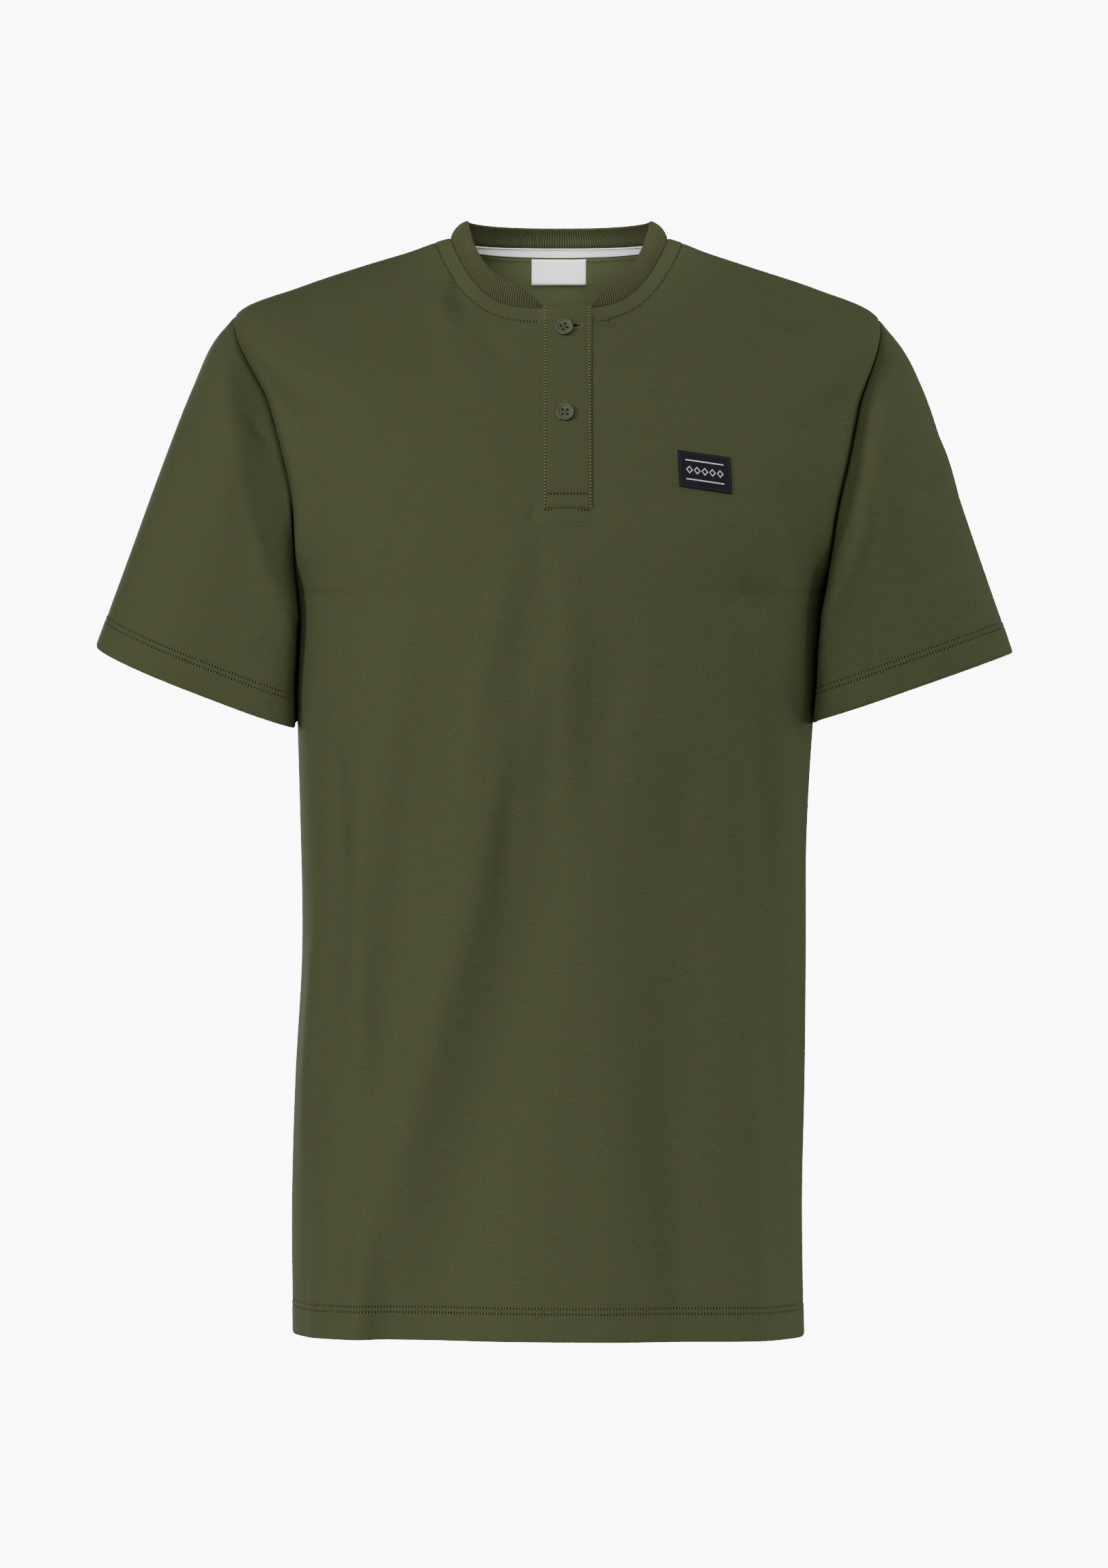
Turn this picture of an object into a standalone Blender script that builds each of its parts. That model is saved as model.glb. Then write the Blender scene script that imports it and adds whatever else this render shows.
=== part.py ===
"""Short-sleeved polo shirt with a two-button placket and a low rib band collar, as when worn.

Metres, +Z up, the front faces -Y and +X is on the viewer's right. The origin is the middle of the
neck opening, level with the points where the shoulder seams meet the neckline. Sizes are written in
millimetres and multiplied by MM. Every cloth piece is an open surface of real size, thickened inwards.
"""

import math
from collections import namedtuple

import bmesh
import bpy
import numpy as np
from mathutils import Vector

MM = 0.001

# Cloth and seams
CLOTH = 1.2 * MM            # wall of the body and sleeves
SEAM = 0.3 * MM             # gap between two pieces that are sewn together
SIDE_SEAM = 0.6 * MM        # the same outside a side seam, where the two walls lean together
PLACKET_CLOTH = 1.5 * MM    # two layers and interlining
TRIM_CLOTH = 1.0 * MM       # neck tape, label and chest patch
RIB_CLOTH = 1.7 * MM        # doubled rib knit

# Placket, on the wearer's middle front
PLACKET_MIDDLE = 5.4 * MM   # it sits a little to the viewer's right of the neck's middle
PLACKET_WIDTH = 32.3 * MM
PLACKET_LAP = 2.0 * MM      # what the upper band laps over the front at each side
PLACKET_ABOVE_NECK = 2.4 * MM
PLACKET_ROWS_BELOW_SLOT = 1

# Rib collar band
RIB_WIDTH = 16.0 * MM
RIB_END_WIDTH = 2.4 * MM    # where it meets the placket
RIB_TAPER = 26.0 * MM       # length over which each end narrows
RIB_END_GAP = 0.9 * MM
RIB_FOOT_GAP = 0.4 * MM     # above the neck seam
RIB_FRONT_REACH = 60.0 * MM # how far forward of the neck's middle the front lean is reached
RIB_PITCH = 1.75 * MM
RIB_RELIEF = 0.45 * MM
RIB_LEAN = 1.1              # how far it leans in for its rise at the sides and back
RIB_FRONT_LEAN = 0.35       # the same at the front

# Buttons
BUTTON_HEIGHT = 2.6 * MM
BUTTON_PROFILE = [          # radius and height in mm, from the middle of the dished face to the flat back
    (0.0, 1.7),
    (4.2, 1.7),
    (4.8, 2.5),
    (5.35, 2.6),
    (5.75, 2.25),
    (5.9, 1.7),
    (5.4, 0.3),
    (4.5, 0.0),
    (0.0, 0.0),
]
BUTTON_LIFT = 0.5 * MM      # clear of the placket, on its thread
BUTTON_HOLE_RADIUS = 0.72 * MM
BUTTON_HOLE_OFFSET = 2.1 * MM
BUTTON_HOLE_SIDES = 8
BUTTON_STEPS = 20
MERGE = 0.02 * MM           # points of the turned outline closer than this are one
Button = namedtuple("Button", "name x z turn")
BUTTONS = [
    Button("button_1", 3.2, -63.0, 27.0),
    Button("button_2", 3.8, -119.8, 0.0),
]

# Chest patch and neck label
PATCH_WIDTH, PATCH_HEIGHT = 34.5 * MM, 24.0 * MM
PATCH_MIDDLE = (95.0 * MM, -158.2 * MM)
PATCH_FALL = 0.138          # drop of its top and bottom edges towards +X
PATCH_LEAN = 0.045          # how its sides lean towards +X on their way down
PATCH_LIFT = 0.6 * MM       # its back over the front's cloth
PATCH_CELLS = (4, 3)        # across and up
LABEL_SIDES = (18.2 * MM, -18.6 * MM)

# The body, ring by ring from the hem to the neck seam, in millimetres. side_* is the ring's height at
# each side, front and back its height at the middle front and back, left and right its reach along X,
# *_y its reach along Y, square how boxy it is (2 is an ellipse), and steps the mesh rows to the next ring.
Ring = namedtuple(
    "Ring",
    "name side_left side_right front back left right side_y front_y back_y square steps",
)
RINGS = [
    Ring("hem",         -727.1, -728.8, -726.2, -727, -174.2, 160.4, 0, -118, 118, 2.70, 3),
    Ring("low hip",     -640, -640, -640, -640, -175.3, 159.6, 0, -117, 117, 2.70, 2),
    Ring("hip",         -560, -560, -560, -560, -173.5, 161.6, 0, -116, 116, 2.70, 2),
    Ring("waist",       -470, -470, -470, -470, -169.3, 162.8, 0, -116, 114, 2.65, 3),
    Ring("high waist",  -390, -390, -390, -390, -170.8, 163.7, 1, -117, 116, 2.60, 3),
    Ring("under chest", -310, -310, -310, -310, -174.4, 170.0, 2, -119, 121, 2.55, 3),
    Ring("underarm",    -237, -237, -238, -237, -174.8, 177.4, 3, -120, 125, 2.55, 3),
    Ring("armhole low", -196, -196, -203, -200, -182.0, 188.0, 3, -118, 126, 2.55, 3),
    Ring("slot foot",   -155, -157, -174, -166, -190.5, 199.5, 4, -113, 124, 2.50, 1),
    Ring("band foot",   -147, -149, -168, -160, -192.5, 201.5, 4, -112, 123, 2.50, 3),
    Ring("armhole high", -104, -106, -143, -126, -202.0, 208.5, 5, -106, 116, 2.45, 4),
    Ring("shoulder",    -49,  -51, -108,  -78, -215.2, 212.2, 6, -95, 100, 2.40, 2),
    Ring("yoke out",    -30.5, -32.3,  -87,  -52, -172.0, 172.0, 6, -87, 89, 2.30, 3),
    Ring("yoke in",     -16.5, -18.3,  -71,  -32, -130.0, 130.0, 5, -80.5, 80.5, 2.25, 2),
    Ring("label foot",  -6.8, -7.8,   -60,  -20, -98.0, 98.0, 4, -76, 75, 2.20, 2),
    Ring("tape foot",   -0.9, -1.4,   -55,   -7, -81.5, 81.5, 3, -73.5, 70, 2.15, 1),
    Ring("neck",         1.5,  1.4,   -49,    0, -72.8, 72.6, 2, -71, 65.5, 2.10, 0),
]
RING_DIP = 3.8              # how sharply a ring drops from its sides to its middle
RING_NAMES = [ring.name for ring in RINGS]

# Armholes: a skewed oval as seen from the side, from the underarm ring to the shoulder ring.
ARMHOLE_FRONT = 53.0 * MM   # how far the seam runs forward of the side
ARMHOLE_BACK = 62.0 * MM
ARMHOLE_WIDEST = 0.40       # share of the way up
ROLL_HEIGHT = 5.0 * MM      # soft roll of the body beside the armhole seam
ROLL_FROM_SEAM = 15.0 * MM
ROLL_WIDTH = 10.0 * MM
ROLL_GROWS_BY = 0.25        # share of the way up at which it is full, from nothing at the underarm
ROLL_ENDS_AT = 0.95
ROLL_FADES_OVER = 0.35

# Drape: soft ridges (+) and troughs (-) that fall from the chest and the shoulder blades, in millimetres.
# from_mid is the girth distance from the middle of that panel, positive towards +X.
Fold = namedtuple(
    "Fold",
    "panel top_from_mid top_z foot_from_mid foot_z top_width foot_width top_depth foot_depth",
)
FOLDS = [
    Fold("front", -96, -215, -165, -729, 13, 16, 2.0, 3.2),
    Fold("front", -72, -250, -112, -729, 16, 26, -1.5, -2.5),
    Fold("front", -64, -330, -78, -729, 15, 24, 1.5, 5.5),
    Fold("front", -14, -260, -62, -729, 22, 34, -2.5, -7.0),
    Fold("front", 12, -300, 16, -729, 40, 60, 1.5, 4.5),
    Fold("front", 62, -290, 92, -729, 17, 30, -2.0, -4.5),
    Fold("front", 105, -300, 140, -729, 18, 28, 2.0, 4.0),
    Fold("front", 128, -240, 176, -729, 14, 20, -1.5, -2.5),
    Fold("front", -232, -300, -236, -729, 22, 30, 1.0, 3.0),
    Fold("front", 236, -300, 232, -729, 22, 30, 1.0, 2.5),
    Fold("back", -150, -230, -166, -729, 20, 30, -2.0, -4.5),
    Fold("back", -104, -260, -112, -729, 22, 32, 2.0, 5.5),
    Fold("back", -52, -230, -50, -729, 20, 30, -2.0, -6.0),
    Fold("back", 6, -280, 12, -729, 24, 36, 2.0, 6.0),
    Fold("back", 58, -240, 74, -729, 20, 30, -2.0, -5.5),
    Fold("back", 112, -250, 126, -729, 22, 32, 2.0, 5.0),
    Fold("back", 156, -220, 176, -729, 18, 26, -1.5, -3.5),
]
FOLD_FADE = 90.0 * MM       # length over which each one grows out of the smooth chest

# Sleeves, station by station from the armhole seam to the hem, in millimetres. outer_x and outer_z are
# the outer end of the sleeve's width as seen from the front and inner_z is its inner end, which lies
# against the body. front and back are its depth to each side of that line, lean how much lower the
# front hangs, and at the share of the sleeve's length.
Station = namedtuple("Station", "name outer_x outer_z inner_z mid_y front back lean at")
LEFT_SLEEVE = [
    Station("cap",   -230.2,  -66.6, -250.0, 4, 59, 63, 0, 0.10),
    Station("upper", -244.2,  -97.0, -260.0, 3, 61, 61, 1, 0.24),
    Station("bicep", -264.9, -150.0, -280.0, 2, 57, 57, 2, 0.48),
    Station("lower", -286.6, -209.6, -301.0, 1, 53, 52, 4, 0.74),
    Station("hem",   -308.6, -269.6, -321.0, 0, 49, 49, 6.4, 1.00),
]
RIGHT_SLEEVE = [
    Station("cap",   228.4,  -70.6, -250.0, 4, 59, 63, 0, 0.10),
    Station("upper", 242.2,  -97.6, -260.0, 3, 61, 61, 0, 0.24),
    Station("bicep", 259.1, -147.6, -280.0, 2, 57, 57, 0, 0.48),
    Station("lower", 279.3, -207.6, -301.0, 1, 53, 52, 1, 0.74),
    Station("hem",   302.4, -274.5, -321.0, 0, 49, 49, 1, 1.00),
]
SLEEVE_CLEAR = 0.5 * MM     # between the hanging sleeve and the body's side
SLEEVE_SQUARE = 2.15
SLEEVE_ROWS = 13

# Mesh of the panels
FRONT_SIDE_CELLS = 11       # from each side seam to the placket
BACK_SIDE_CELLS = 9         # from each side seam to the label
SLOT_CELLS = 2
LABEL_CELLS = 3
ROW_POINTS = 241            # that a row is measured on before it is divided
RING_POINTS = 361           # that a ring's girth is measured on
NECK_POINTS = 1441          # that the neck seam is measured on
TURN_STEP = 0.01            # radians, to find which way the surface faces
CLIMB_STEP = 0.5 * MM

# Colours as linear RGB
OLIVE = (0.068, 0.072, 0.034)
RIB_OLIVE = (0.055, 0.058, 0.027)
BUTTON_GREEN = (0.075, 0.082, 0.052)
TAPE_WHITE = (0.80, 0.81, 0.79)
PATCH_BLACK = (0.012, 0.013, 0.018)


# ---------------------------------------------------------------- curves

def smooth_through(stations, values, at):
    """Values at the places in at, on a cubic whose slope at each station comes from its two neighbours."""
    stations = np.asarray(stations, float)
    values = np.asarray(values, float)
    at = np.atleast_1d(at)
    slopes = np.gradient(values, stations, axis=0)
    low = np.clip(np.searchsorted(stations, at, side="right") - 1, 0, len(stations) - 2)
    span = stations[low + 1] - stations[low]
    share = (at - stations[low]) / span
    extra = (1,) * (values.ndim - 1)
    share = share.reshape(-1, *extra)
    span = span.reshape(-1, *extra)
    return ((2 * share**3 - 3 * share**2 + 1) * values[low]
            + (share**3 - 2 * share**2 + share) * span * slopes[low]
            + (3 * share**2 - 2 * share**3) * values[low + 1]
            + (share**3 - share**2) * span * slopes[low + 1])


def unit(vectors):
    length = np.linalg.norm(vectors, axis=-1, keepdims=True)
    return vectors / np.maximum(length, 1e-12)


def travelled(points):
    """Distance along a polyline at each of its points."""
    return np.concatenate([[0.0], np.cumsum(np.linalg.norm(np.diff(points, axis=0), axis=1))])


def along(points, places):
    """Points at the given distances along a polyline."""
    way = travelled(points)
    return np.stack([np.interp(places, way, points[:, axis]) for axis in range(3)], axis=1)


def ease(share):
    """0 to 1 with no corner at either end."""
    share = np.clip(share, 0.0, 1.0)
    return share * share * (3 - 2 * share)


# ---------------------------------------------------------------- the body's form

def ring_numbers():
    """The ring table as numbers in metres (square stays a plain number), one row for each ring."""
    rows = np.array([ring[1:-1] for ring in RINGS], float)
    rows[:, :-1] *= MM
    return rows


def ring_climbs(rows):
    """How far up the cloth each ring lies: the mean of the ways along its side, front and back."""
    side = np.hypot(np.diff(rows[:, 0]), np.diff(rows[:, 4]))
    front = np.hypot(np.diff(rows[:, 2]), np.diff(rows[:, 7]))
    back = np.hypot(np.diff(rows[:, 3]), np.diff(rows[:, 8]))
    return np.concatenate([[0.0], np.cumsum((side + front + back) / 3)])


RING_ROWS = ring_numbers()
RING_CLIMBS = ring_climbs(RING_ROWS)
CLIMB_OF = dict(zip(RING_NAMES, RING_CLIMBS))


def ring_at(climb):
    return smooth_through(RING_CLIMBS, RING_ROWS, climb)[0]


def plain_points(angles, ring):
    """Points of a ring without folds. The angle is 0 at the middle front and grows towards +X."""
    side_left, side_right, front, back, left, right, side_y, front_y, back_y, square = ring
    sine, cosine = np.sin(angles), np.cos(angles)
    across = np.sign(sine) * np.abs(sine) ** (2 / square)
    depth = np.abs(cosine) ** (2 / square)
    faces_front = cosine >= 0
    middle_z = np.where(faces_front, front, back)
    middle_y = np.where(faces_front, front_y, back_y)
    side_z = (side_left + side_right) / 2 + (side_right - side_left) / 2 * across
    mean_side = (side_left + side_right) / 2
    x = (left + right) / 2 + (right - left) / 2 * across
    y = side_y + (middle_y - side_y) * depth
    z = side_z + (middle_z - mean_side) * (1 - np.abs(across) ** RING_DIP)
    return np.stack([x, y, z], axis=1)


def girths(angles, ring):
    """Distance round the ring from the middle front, and from the middle back, positive towards +X."""
    dense = np.linspace(-math.pi, math.pi, RING_POINTS)
    way = travelled(plain_points(dense, ring))
    from_front = np.interp(wrapped(angles), dense, way - way[RING_POINTS // 2])
    half = way[-1] / 2
    from_back = np.where(from_front >= 0, half - from_front, -half - from_front)
    return from_front, from_back


def wrapped(angles):
    return (np.asarray(angles) + math.pi) % (2 * math.pi) - math.pi


def fold_depth(from_front, from_back, z):
    """How far the drape stands out of the smooth body at each point."""
    depth = np.zeros_like(z)
    for fold in FOLDS:
        from_mid = from_front if fold.panel == "front" else from_back
        share = (fold.top_z * MM - z) / ((fold.top_z - fold.foot_z) * MM)
        line = (fold.top_from_mid + (fold.foot_from_mid - fold.top_from_mid) * share) * MM
        width = (fold.top_width + (fold.foot_width - fold.top_width) * np.clip(share, 0, 1)) * MM
        height = (fold.top_depth + (fold.foot_depth - fold.top_depth) * np.clip(share, 0, 1)) * MM
        grown = ease((fold.top_z * MM - z) / FOLD_FADE)
        depth += height * grown * np.exp(-((from_mid - line) / width) ** 2)
    return depth


def armhole_share(climb):
    """Width of the armhole at this climb, as a share of its greatest."""
    way = (climb - CLIMB_OF["underarm"]) / (CLIMB_OF["shoulder"] - CLIMB_OF["underarm"])
    if not 0 < way < 1:
        return 0.0
    reach = ARMHOLE_WIDEST if way < ARMHOLE_WIDEST else 1 - ARMHOLE_WIDEST
    return math.sqrt(max(0.0, 1 - ((way - ARMHOLE_WIDEST) / reach) ** 2))


def seam_angle(climb, panel):
    """Angle from a panel's middle to its edge: the side seam, the armhole or the shoulder seam."""
    ring = ring_at(climb)
    side_y, front_y, back_y, square = ring[6:]
    reach = ARMHOLE_FRONT if panel == "front" else ARMHOLE_BACK
    middle_y = front_y if panel == "front" else back_y
    depth = armhole_share(climb) * reach / abs(middle_y - side_y)
    return math.acos(min(1.0, depth) ** (square / 2))


def roll_height(from_front, from_back, climb, ring):
    """The soft roll of the body in front of and behind each armhole."""
    share = armhole_share(climb)
    if share == 0:
        return np.zeros_like(from_front)
    total = np.zeros_like(from_front)
    for panel, from_mid in (("front", from_front), ("back", from_back)):
        angle = seam_angle(climb, panel)
        edge = abs(girths(np.array([angle]), ring)[0][0])
        from_seam = edge - np.abs(from_mid)
        total += np.exp(-((from_seam - ROLL_FROM_SEAM) / ROLL_WIDTH) ** 2)
    way = (climb - CLIMB_OF["underarm"]) / (CLIMB_OF["shoulder"] - CLIMB_OF["underarm"])
    grown = ease(way / ROLL_GROWS_BY) * ease((ROLL_ENDS_AT - way) / ROLL_FADES_OVER)
    return ROLL_HEIGHT * total * grown


def cloth_points(angles, climb):
    """Outer points of the body at one climb, folds and all."""
    ring = ring_at(climb)
    here = plain_points(angles, ring)
    turn = plain_points(angles + TURN_STEP, ring) - plain_points(angles - TURN_STEP, ring)
    rise = (plain_points(angles, ring_at(climb + CLIMB_STEP))
            - plain_points(angles, ring_at(climb - CLIMB_STEP)))
    outward = unit(np.cross(turn, rise))
    from_front, from_back = girths(angles, ring)
    height = fold_depth(from_front, from_back, here[:, 2])
    height = height + roll_height(from_front, from_back, climb, ring)
    return here + outward * height[:, None]


# ---------------------------------------------------------------- grids and meshes

def row_climbs(first, last):
    """Climb of each mesh row from one named ring to another, both included."""
    start, stop = RING_NAMES.index(first), RING_NAMES.index(last)
    climbs = []
    for index in range(start, stop):
        steps = RINGS[index].steps
        shares = np.arange(steps) / steps
        climbs += list(RING_CLIMBS[index] + (RING_CLIMBS[index + 1] - RING_CLIMBS[index]) * shares)
    return np.array(climbs + [RING_CLIMBS[stop]])


def panel_row(climb, panel, breaks, cells):
    """One row of a panel from seam to seam, with a column line at each X in breaks."""
    edge = seam_angle(climb, panel)
    middle = 0.0 if panel == "front" else math.pi
    angles = np.linspace(middle - edge, middle + edge, ROW_POINTS)
    points = cloth_points(angles, climb)
    way = travelled(points)
    central = slice(ROW_POINTS // 4, -(ROW_POINTS // 4))
    xs, ways = points[central, 0], way[central]
    if xs[0] > xs[-1]:
        xs, ways = xs[::-1], ways[::-1]
    stops = [SIDE_SEAM / 2]
    stops += [float(np.interp(x, xs, ways)) for x in breaks]
    stops += [way[-1] - SIDE_SEAM / 2]
    places = [stops[0]]
    for start, stop, count in zip(stops, stops[1:], cells):
        places += list(np.linspace(start, stop, count + 1)[1:])
    return along(points, places)


def panel_grid(panel, breaks, cells):
    climbs = row_climbs("hem", "neck")
    return np.array([panel_row(climb, panel, breaks, cells) for climb in climbs])


def outward_normals(grid):
    """Unit normals at the grid's points: across the columns, then up the rows, points outwards."""
    return unit(np.cross(np.gradient(grid, axis=1), np.gradient(grid, axis=0)))


def material(name, colour, roughness):
    made = bpy.data.materials.new(name)
    made.use_nodes = True
    shader = made.node_tree.nodes["Principled BSDF"]
    shader.inputs["Base Color"].default_value = (*colour, 1.0)
    shader.inputs["Roughness"].default_value = roughness
    shader.inputs["Metallic"].default_value = 0.0
    return made


def new_object(name, vertices, faces, finish):
    mesh = bpy.data.meshes.new(name)
    mesh.from_pydata([tuple(vertex) for vertex in vertices], [], faces)
    mesh.validate()
    mesh.materials.append(finish)
    mesh.shade_smooth()
    made = bpy.data.objects.new(name, mesh)
    SHIRT.objects.link(made)
    return made


def grid_faces(rows, columns, closed=False, left_out=None):
    """Quads of a grid; closed joins the last column to the first, left_out says which cells are open."""
    faces = []
    for row in range(rows - 1):
        for column in range(columns if closed else columns - 1):
            if left_out and left_out(row, column):
                continue
            beside = (column + 1) % columns
            faces.append((row * columns + column, row * columns + beside,
                          (row + 1) * columns + beside, (row + 1) * columns + column))
    return faces


def cloth_piece(name, grid, finish, thickness, closed=False, left_out=None):
    """A grid of outer points as a cloth wall, thickened inwards."""
    rows, columns = grid.shape[:2]
    faces = grid_faces(rows, columns, closed, left_out)
    used = sorted({corner for face in faces for corner in face})
    renumbered = {old: new for new, old in enumerate(used)}
    faces = [tuple(renumbered[corner] for corner in face) for face in faces]
    made = new_object(name, grid.reshape(-1, 3)[used], faces, finish)
    wall = made.modifiers.new("wall", "SOLIDIFY")
    wall.thickness = thickness
    wall.offset = -1.0
    return made


# ---------------------------------------------------------------- sleeves

def panel_edge(grid, climbs, side):
    """Armhole edge of a panel on one side: its points, outward normals and the way out of the panel."""
    start = int(np.argmin(abs(climbs - CLIMB_OF["underarm"])))
    stop = int(np.argmin(abs(climbs - CLIMB_OF["shoulder"])))
    column, inner = (0, 1) if side == "first" else (-1, -2)
    rows = slice(start, stop + 1)
    points = grid[rows, column]
    normals = outward_normals(grid)[rows, column]
    tangent = unit(np.gradient(points, axis=0))
    away = unit(np.cross(tangent, normals))
    inward = grid[rows, inner] - points
    away *= -np.sign((away * inward).sum(axis=1, keepdims=True))
    return points, normals, away


def armhole_ring(front, back, climbs, side):
    """The armhole as one ring from the shoulder down the front, under the arm and up the back."""
    front_side, back_side = ("first", "last") if side == "left" else ("last", "first")
    at_front = panel_edge(front, climbs, front_side)
    at_back = panel_edge(back, climbs, back_side)
    ring = []
    for of_front, of_back in zip(at_front, at_back):
        shoulder = (of_front[-1] + of_back[-1]) / 2
        underarm = (of_front[0] + of_back[0]) / 2
        ring.append(np.concatenate([[shoulder], of_front[-2:0:-1], [underarm], of_back[1:-1]]))
    points, normals, away = ring
    half = len(at_front[0]) - 1
    along_shoulder_seam = front[climbs_row(climbs, "shoulder") + 1, 0 if side == "left" else -1]
    away[0] = points[0] - along_shoulder_seam
    away[half] = (0.0, 0.0, 1.0)
    return points, unit(normals), unit(away), half


def climbs_row(climbs, name):
    return int(np.argmin(abs(climbs - CLIMB_OF[name])))


def body_side(z, side):
    """X of the body's side at this height."""
    angle = np.array([-math.pi / 2 if side == "left" else math.pi / 2])
    climbs = np.linspace(CLIMB_OF["high waist"], CLIMB_OF["underarm"], 25)
    points = np.array([cloth_points(angle, climb)[0] for climb in climbs])
    return float(np.interp(z, points[:, 2], points[:, 0]))


def station_ring(station, angles, side):
    """One cross-section of a sleeve. The angle is 0 at the outer end and grows towards the front."""
    outer = np.array([station.outer_x, station.mid_y, station.outer_z]) * MM
    inner = np.array([0.0, station.mid_y * MM, station.inner_z * MM])
    inner[0] = body_side(inner[2], side) + math.copysign(SLEEVE_CLEAR, station.outer_x)
    middle, half_width = (outer + inner) / 2, (outer - inner) / 2
    width_way = unit(half_width)
    down_way = np.array([-width_way[2], 0.0, width_way[0]])
    down_way *= -np.sign(down_way[2])
    sine, cosine = np.sin(angles), np.cos(angles)
    across = np.sign(cosine) * np.abs(cosine) ** (2 / SLEEVE_SQUARE)
    deep = np.sign(sine) * np.abs(sine) ** (2 / SLEEVE_SQUARE)
    depth = np.where(sine > 0, station.front, station.back) * MM
    points = middle + np.outer(across, half_width)
    points[:, 1] -= deep * depth
    return points + np.outer(deep, down_way) * station.lean * MM


def sleeve_grid(front, back, climbs, side, stations):
    """Outer points of a sleeve, from the armhole seam down to its hem."""
    points, normals, away, half = armhole_ring(front, back, climbs, side)
    count = len(points)
    way = travelled(np.vstack([points, points[:1]]))
    angles = np.where(np.arange(count) <= half,
                      math.pi * way[:count] / way[half],
                      math.pi * (1 + (way[:count] - way[half]) / (way[count] - way[half])))
    rings = [station_ring(station, angles, side) for station in stations]
    places = [0.0] + [station.at for station in stations]
    leaving = unit(rings[0] - points)
    round_way = unit(np.roll(points, -1, axis=0) - np.roll(points, 1, axis=0))
    facing = unit(np.cross(leaving, round_way))
    facing *= np.sign((facing * (points - points.mean(axis=0))).sum(axis=1, keepdims=True))
    bend = np.maximum(0.0, (facing * away).sum(axis=1, keepdims=True))
    lap = np.maximum(0.0, -(leaving * away).sum(axis=1, keepdims=True))
    first = points + away * (SEAM + CLOTH * bend) + normals * (SEAM + CLOTH * lap)
    rows = np.linspace(0.0, 1.0, SLEEVE_ROWS + 1)
    return smooth_through(places, np.array([first] + rings), rows)


# ---------------------------------------------------------------- collar

def neckline(start_x, end_x):
    """The neck seam from the placket's left edge round the back to its right edge, finely divided."""
    climb = CLIMB_OF["neck"]
    front = np.linspace(-math.pi / 2, math.pi / 2, NECK_POINTS)
    xs = cloth_points(front, climb)[:, 0]
    start = float(np.interp(start_x, xs, front))
    end = float(np.interp(end_x, xs, front)) - 2 * math.pi
    angles = np.linspace(start, end, NECK_POINTS)
    points = cloth_points(angles, climb)
    below = cloth_points(angles, climb - 2 * MM)
    rising = unit(points - below)
    return points, rising


def rib_collar(finish):
    """Band of 1 by 1 rib that leans in towards the neck, its ribs raised on the outside only."""
    gap = PLACKET_WIDTH / 2 + RIB_END_GAP
    dense, dense_rising = neckline(PLACKET_MIDDLE - gap, PLACKET_MIDDLE + gap)
    way = travelled(dense)
    ribs = round(way[-1] / RIB_PITCH)
    places = np.linspace(0.0, way[-1], 2 * ribs + 1)
    seam = along(dense, places)
    rising = np.stack([np.interp(places, way, dense_rising[:, axis]) for axis in range(3)], axis=1)
    tangent = unit(np.gradient(seam, axis=0))
    flat = tangent.copy()
    flat[:, 2] = 0.0
    inward = unit(np.cross(unit(flat), (0.0, 0.0, 1.0)))
    inward *= -np.sign((inward * (seam - seam.mean(axis=0))).sum(axis=1, keepdims=True))
    frontness = ease(-seam[:, 1:2] / RIB_FRONT_REACH)
    leaning = RIB_LEAN + (RIB_FRONT_LEAN - RIB_LEAN) * frontness
    lean = unit(inward * leaning + np.array([0.0, 0.0, 1.0]))
    outward = unit(np.cross(lean, tangent))
    outward *= np.sign(-(outward * inward).sum(axis=1, keepdims=True))
    from_end = np.minimum(places, way[-1] - places)[:, None]
    width = RIB_END_WIDTH + (RIB_WIDTH - RIB_END_WIDTH) * np.sin(
        np.clip(from_end / RIB_TAPER, 0, 1) * math.pi / 2)
    relief = np.where(np.arange(len(seam)) % 2 == 0, 0.5, -0.5)[:, None] * RIB_RELIEF
    bend = np.maximum(0.0, (outward * rising).sum(axis=1, keepdims=True))
    foot = seam + rising * (RIB_FOOT_GAP + RIB_CLOTH * bend)
    top = foot + lean * width
    sections = np.stack([
        foot + outward * relief,
        top + outward * relief,
        top - outward * RIB_CLOTH,
        foot - outward * RIB_CLOTH,
    ], axis=1)
    count, corners = sections.shape[:2]
    faces = grid_faces(count, corners, closed=True)
    faces.append(tuple(range(corners)))
    faces.append(tuple(range((count - 1) * corners, count * corners))[::-1])
    made = new_object("collar_rib", sections.reshape(-1, 3), faces, finish)
    face_outwards(made)
    return made


def face_outwards(made):
    work = bmesh.new()
    work.from_mesh(made.data)
    bmesh.ops.recalc_face_normals(work, faces=work.faces)
    work.to_mesh(made.data)
    work.free()


# ---------------------------------------------------------------- small pieces

def surface_at(front, x, z):
    """Point and outward normal of the front panel where a line along Y at this X and Z meets it."""
    normals = outward_normals(front)
    rows, columns = front.shape[:2]
    best = None
    for row in range(rows - 1):
        for column in range(columns - 1):
            corners = front[row:row + 2, column:column + 2].reshape(4, 3)
            if not corners[:, 0].min() <= x <= corners[:, 0].max():
                continue
            if not corners[:, 2].min() <= z <= corners[:, 2].max():
                continue
            gap = np.hypot(corners[:, 0] - x, corners[:, 2] - z) + 1e-9
            weight = (1 / gap) / (1 / gap).sum()
            middle = np.abs(corners.mean(axis=0)[[0, 2]] - (x, z)).sum()
            if best is None or middle < best[0]:
                facing = normals[row:row + 2, column:column + 2].reshape(4, 3)
                normal = unit((facing * weight[:, None]).sum(axis=0))
                centre = corners.mean(axis=0)
                away = normal[0] * (x - centre[0]) + normal[2] * (z - centre[2])
                best = (middle, np.array([x, centre[1] - away / normal[1], z]), normal)
    return best[1], best[2]


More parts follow.
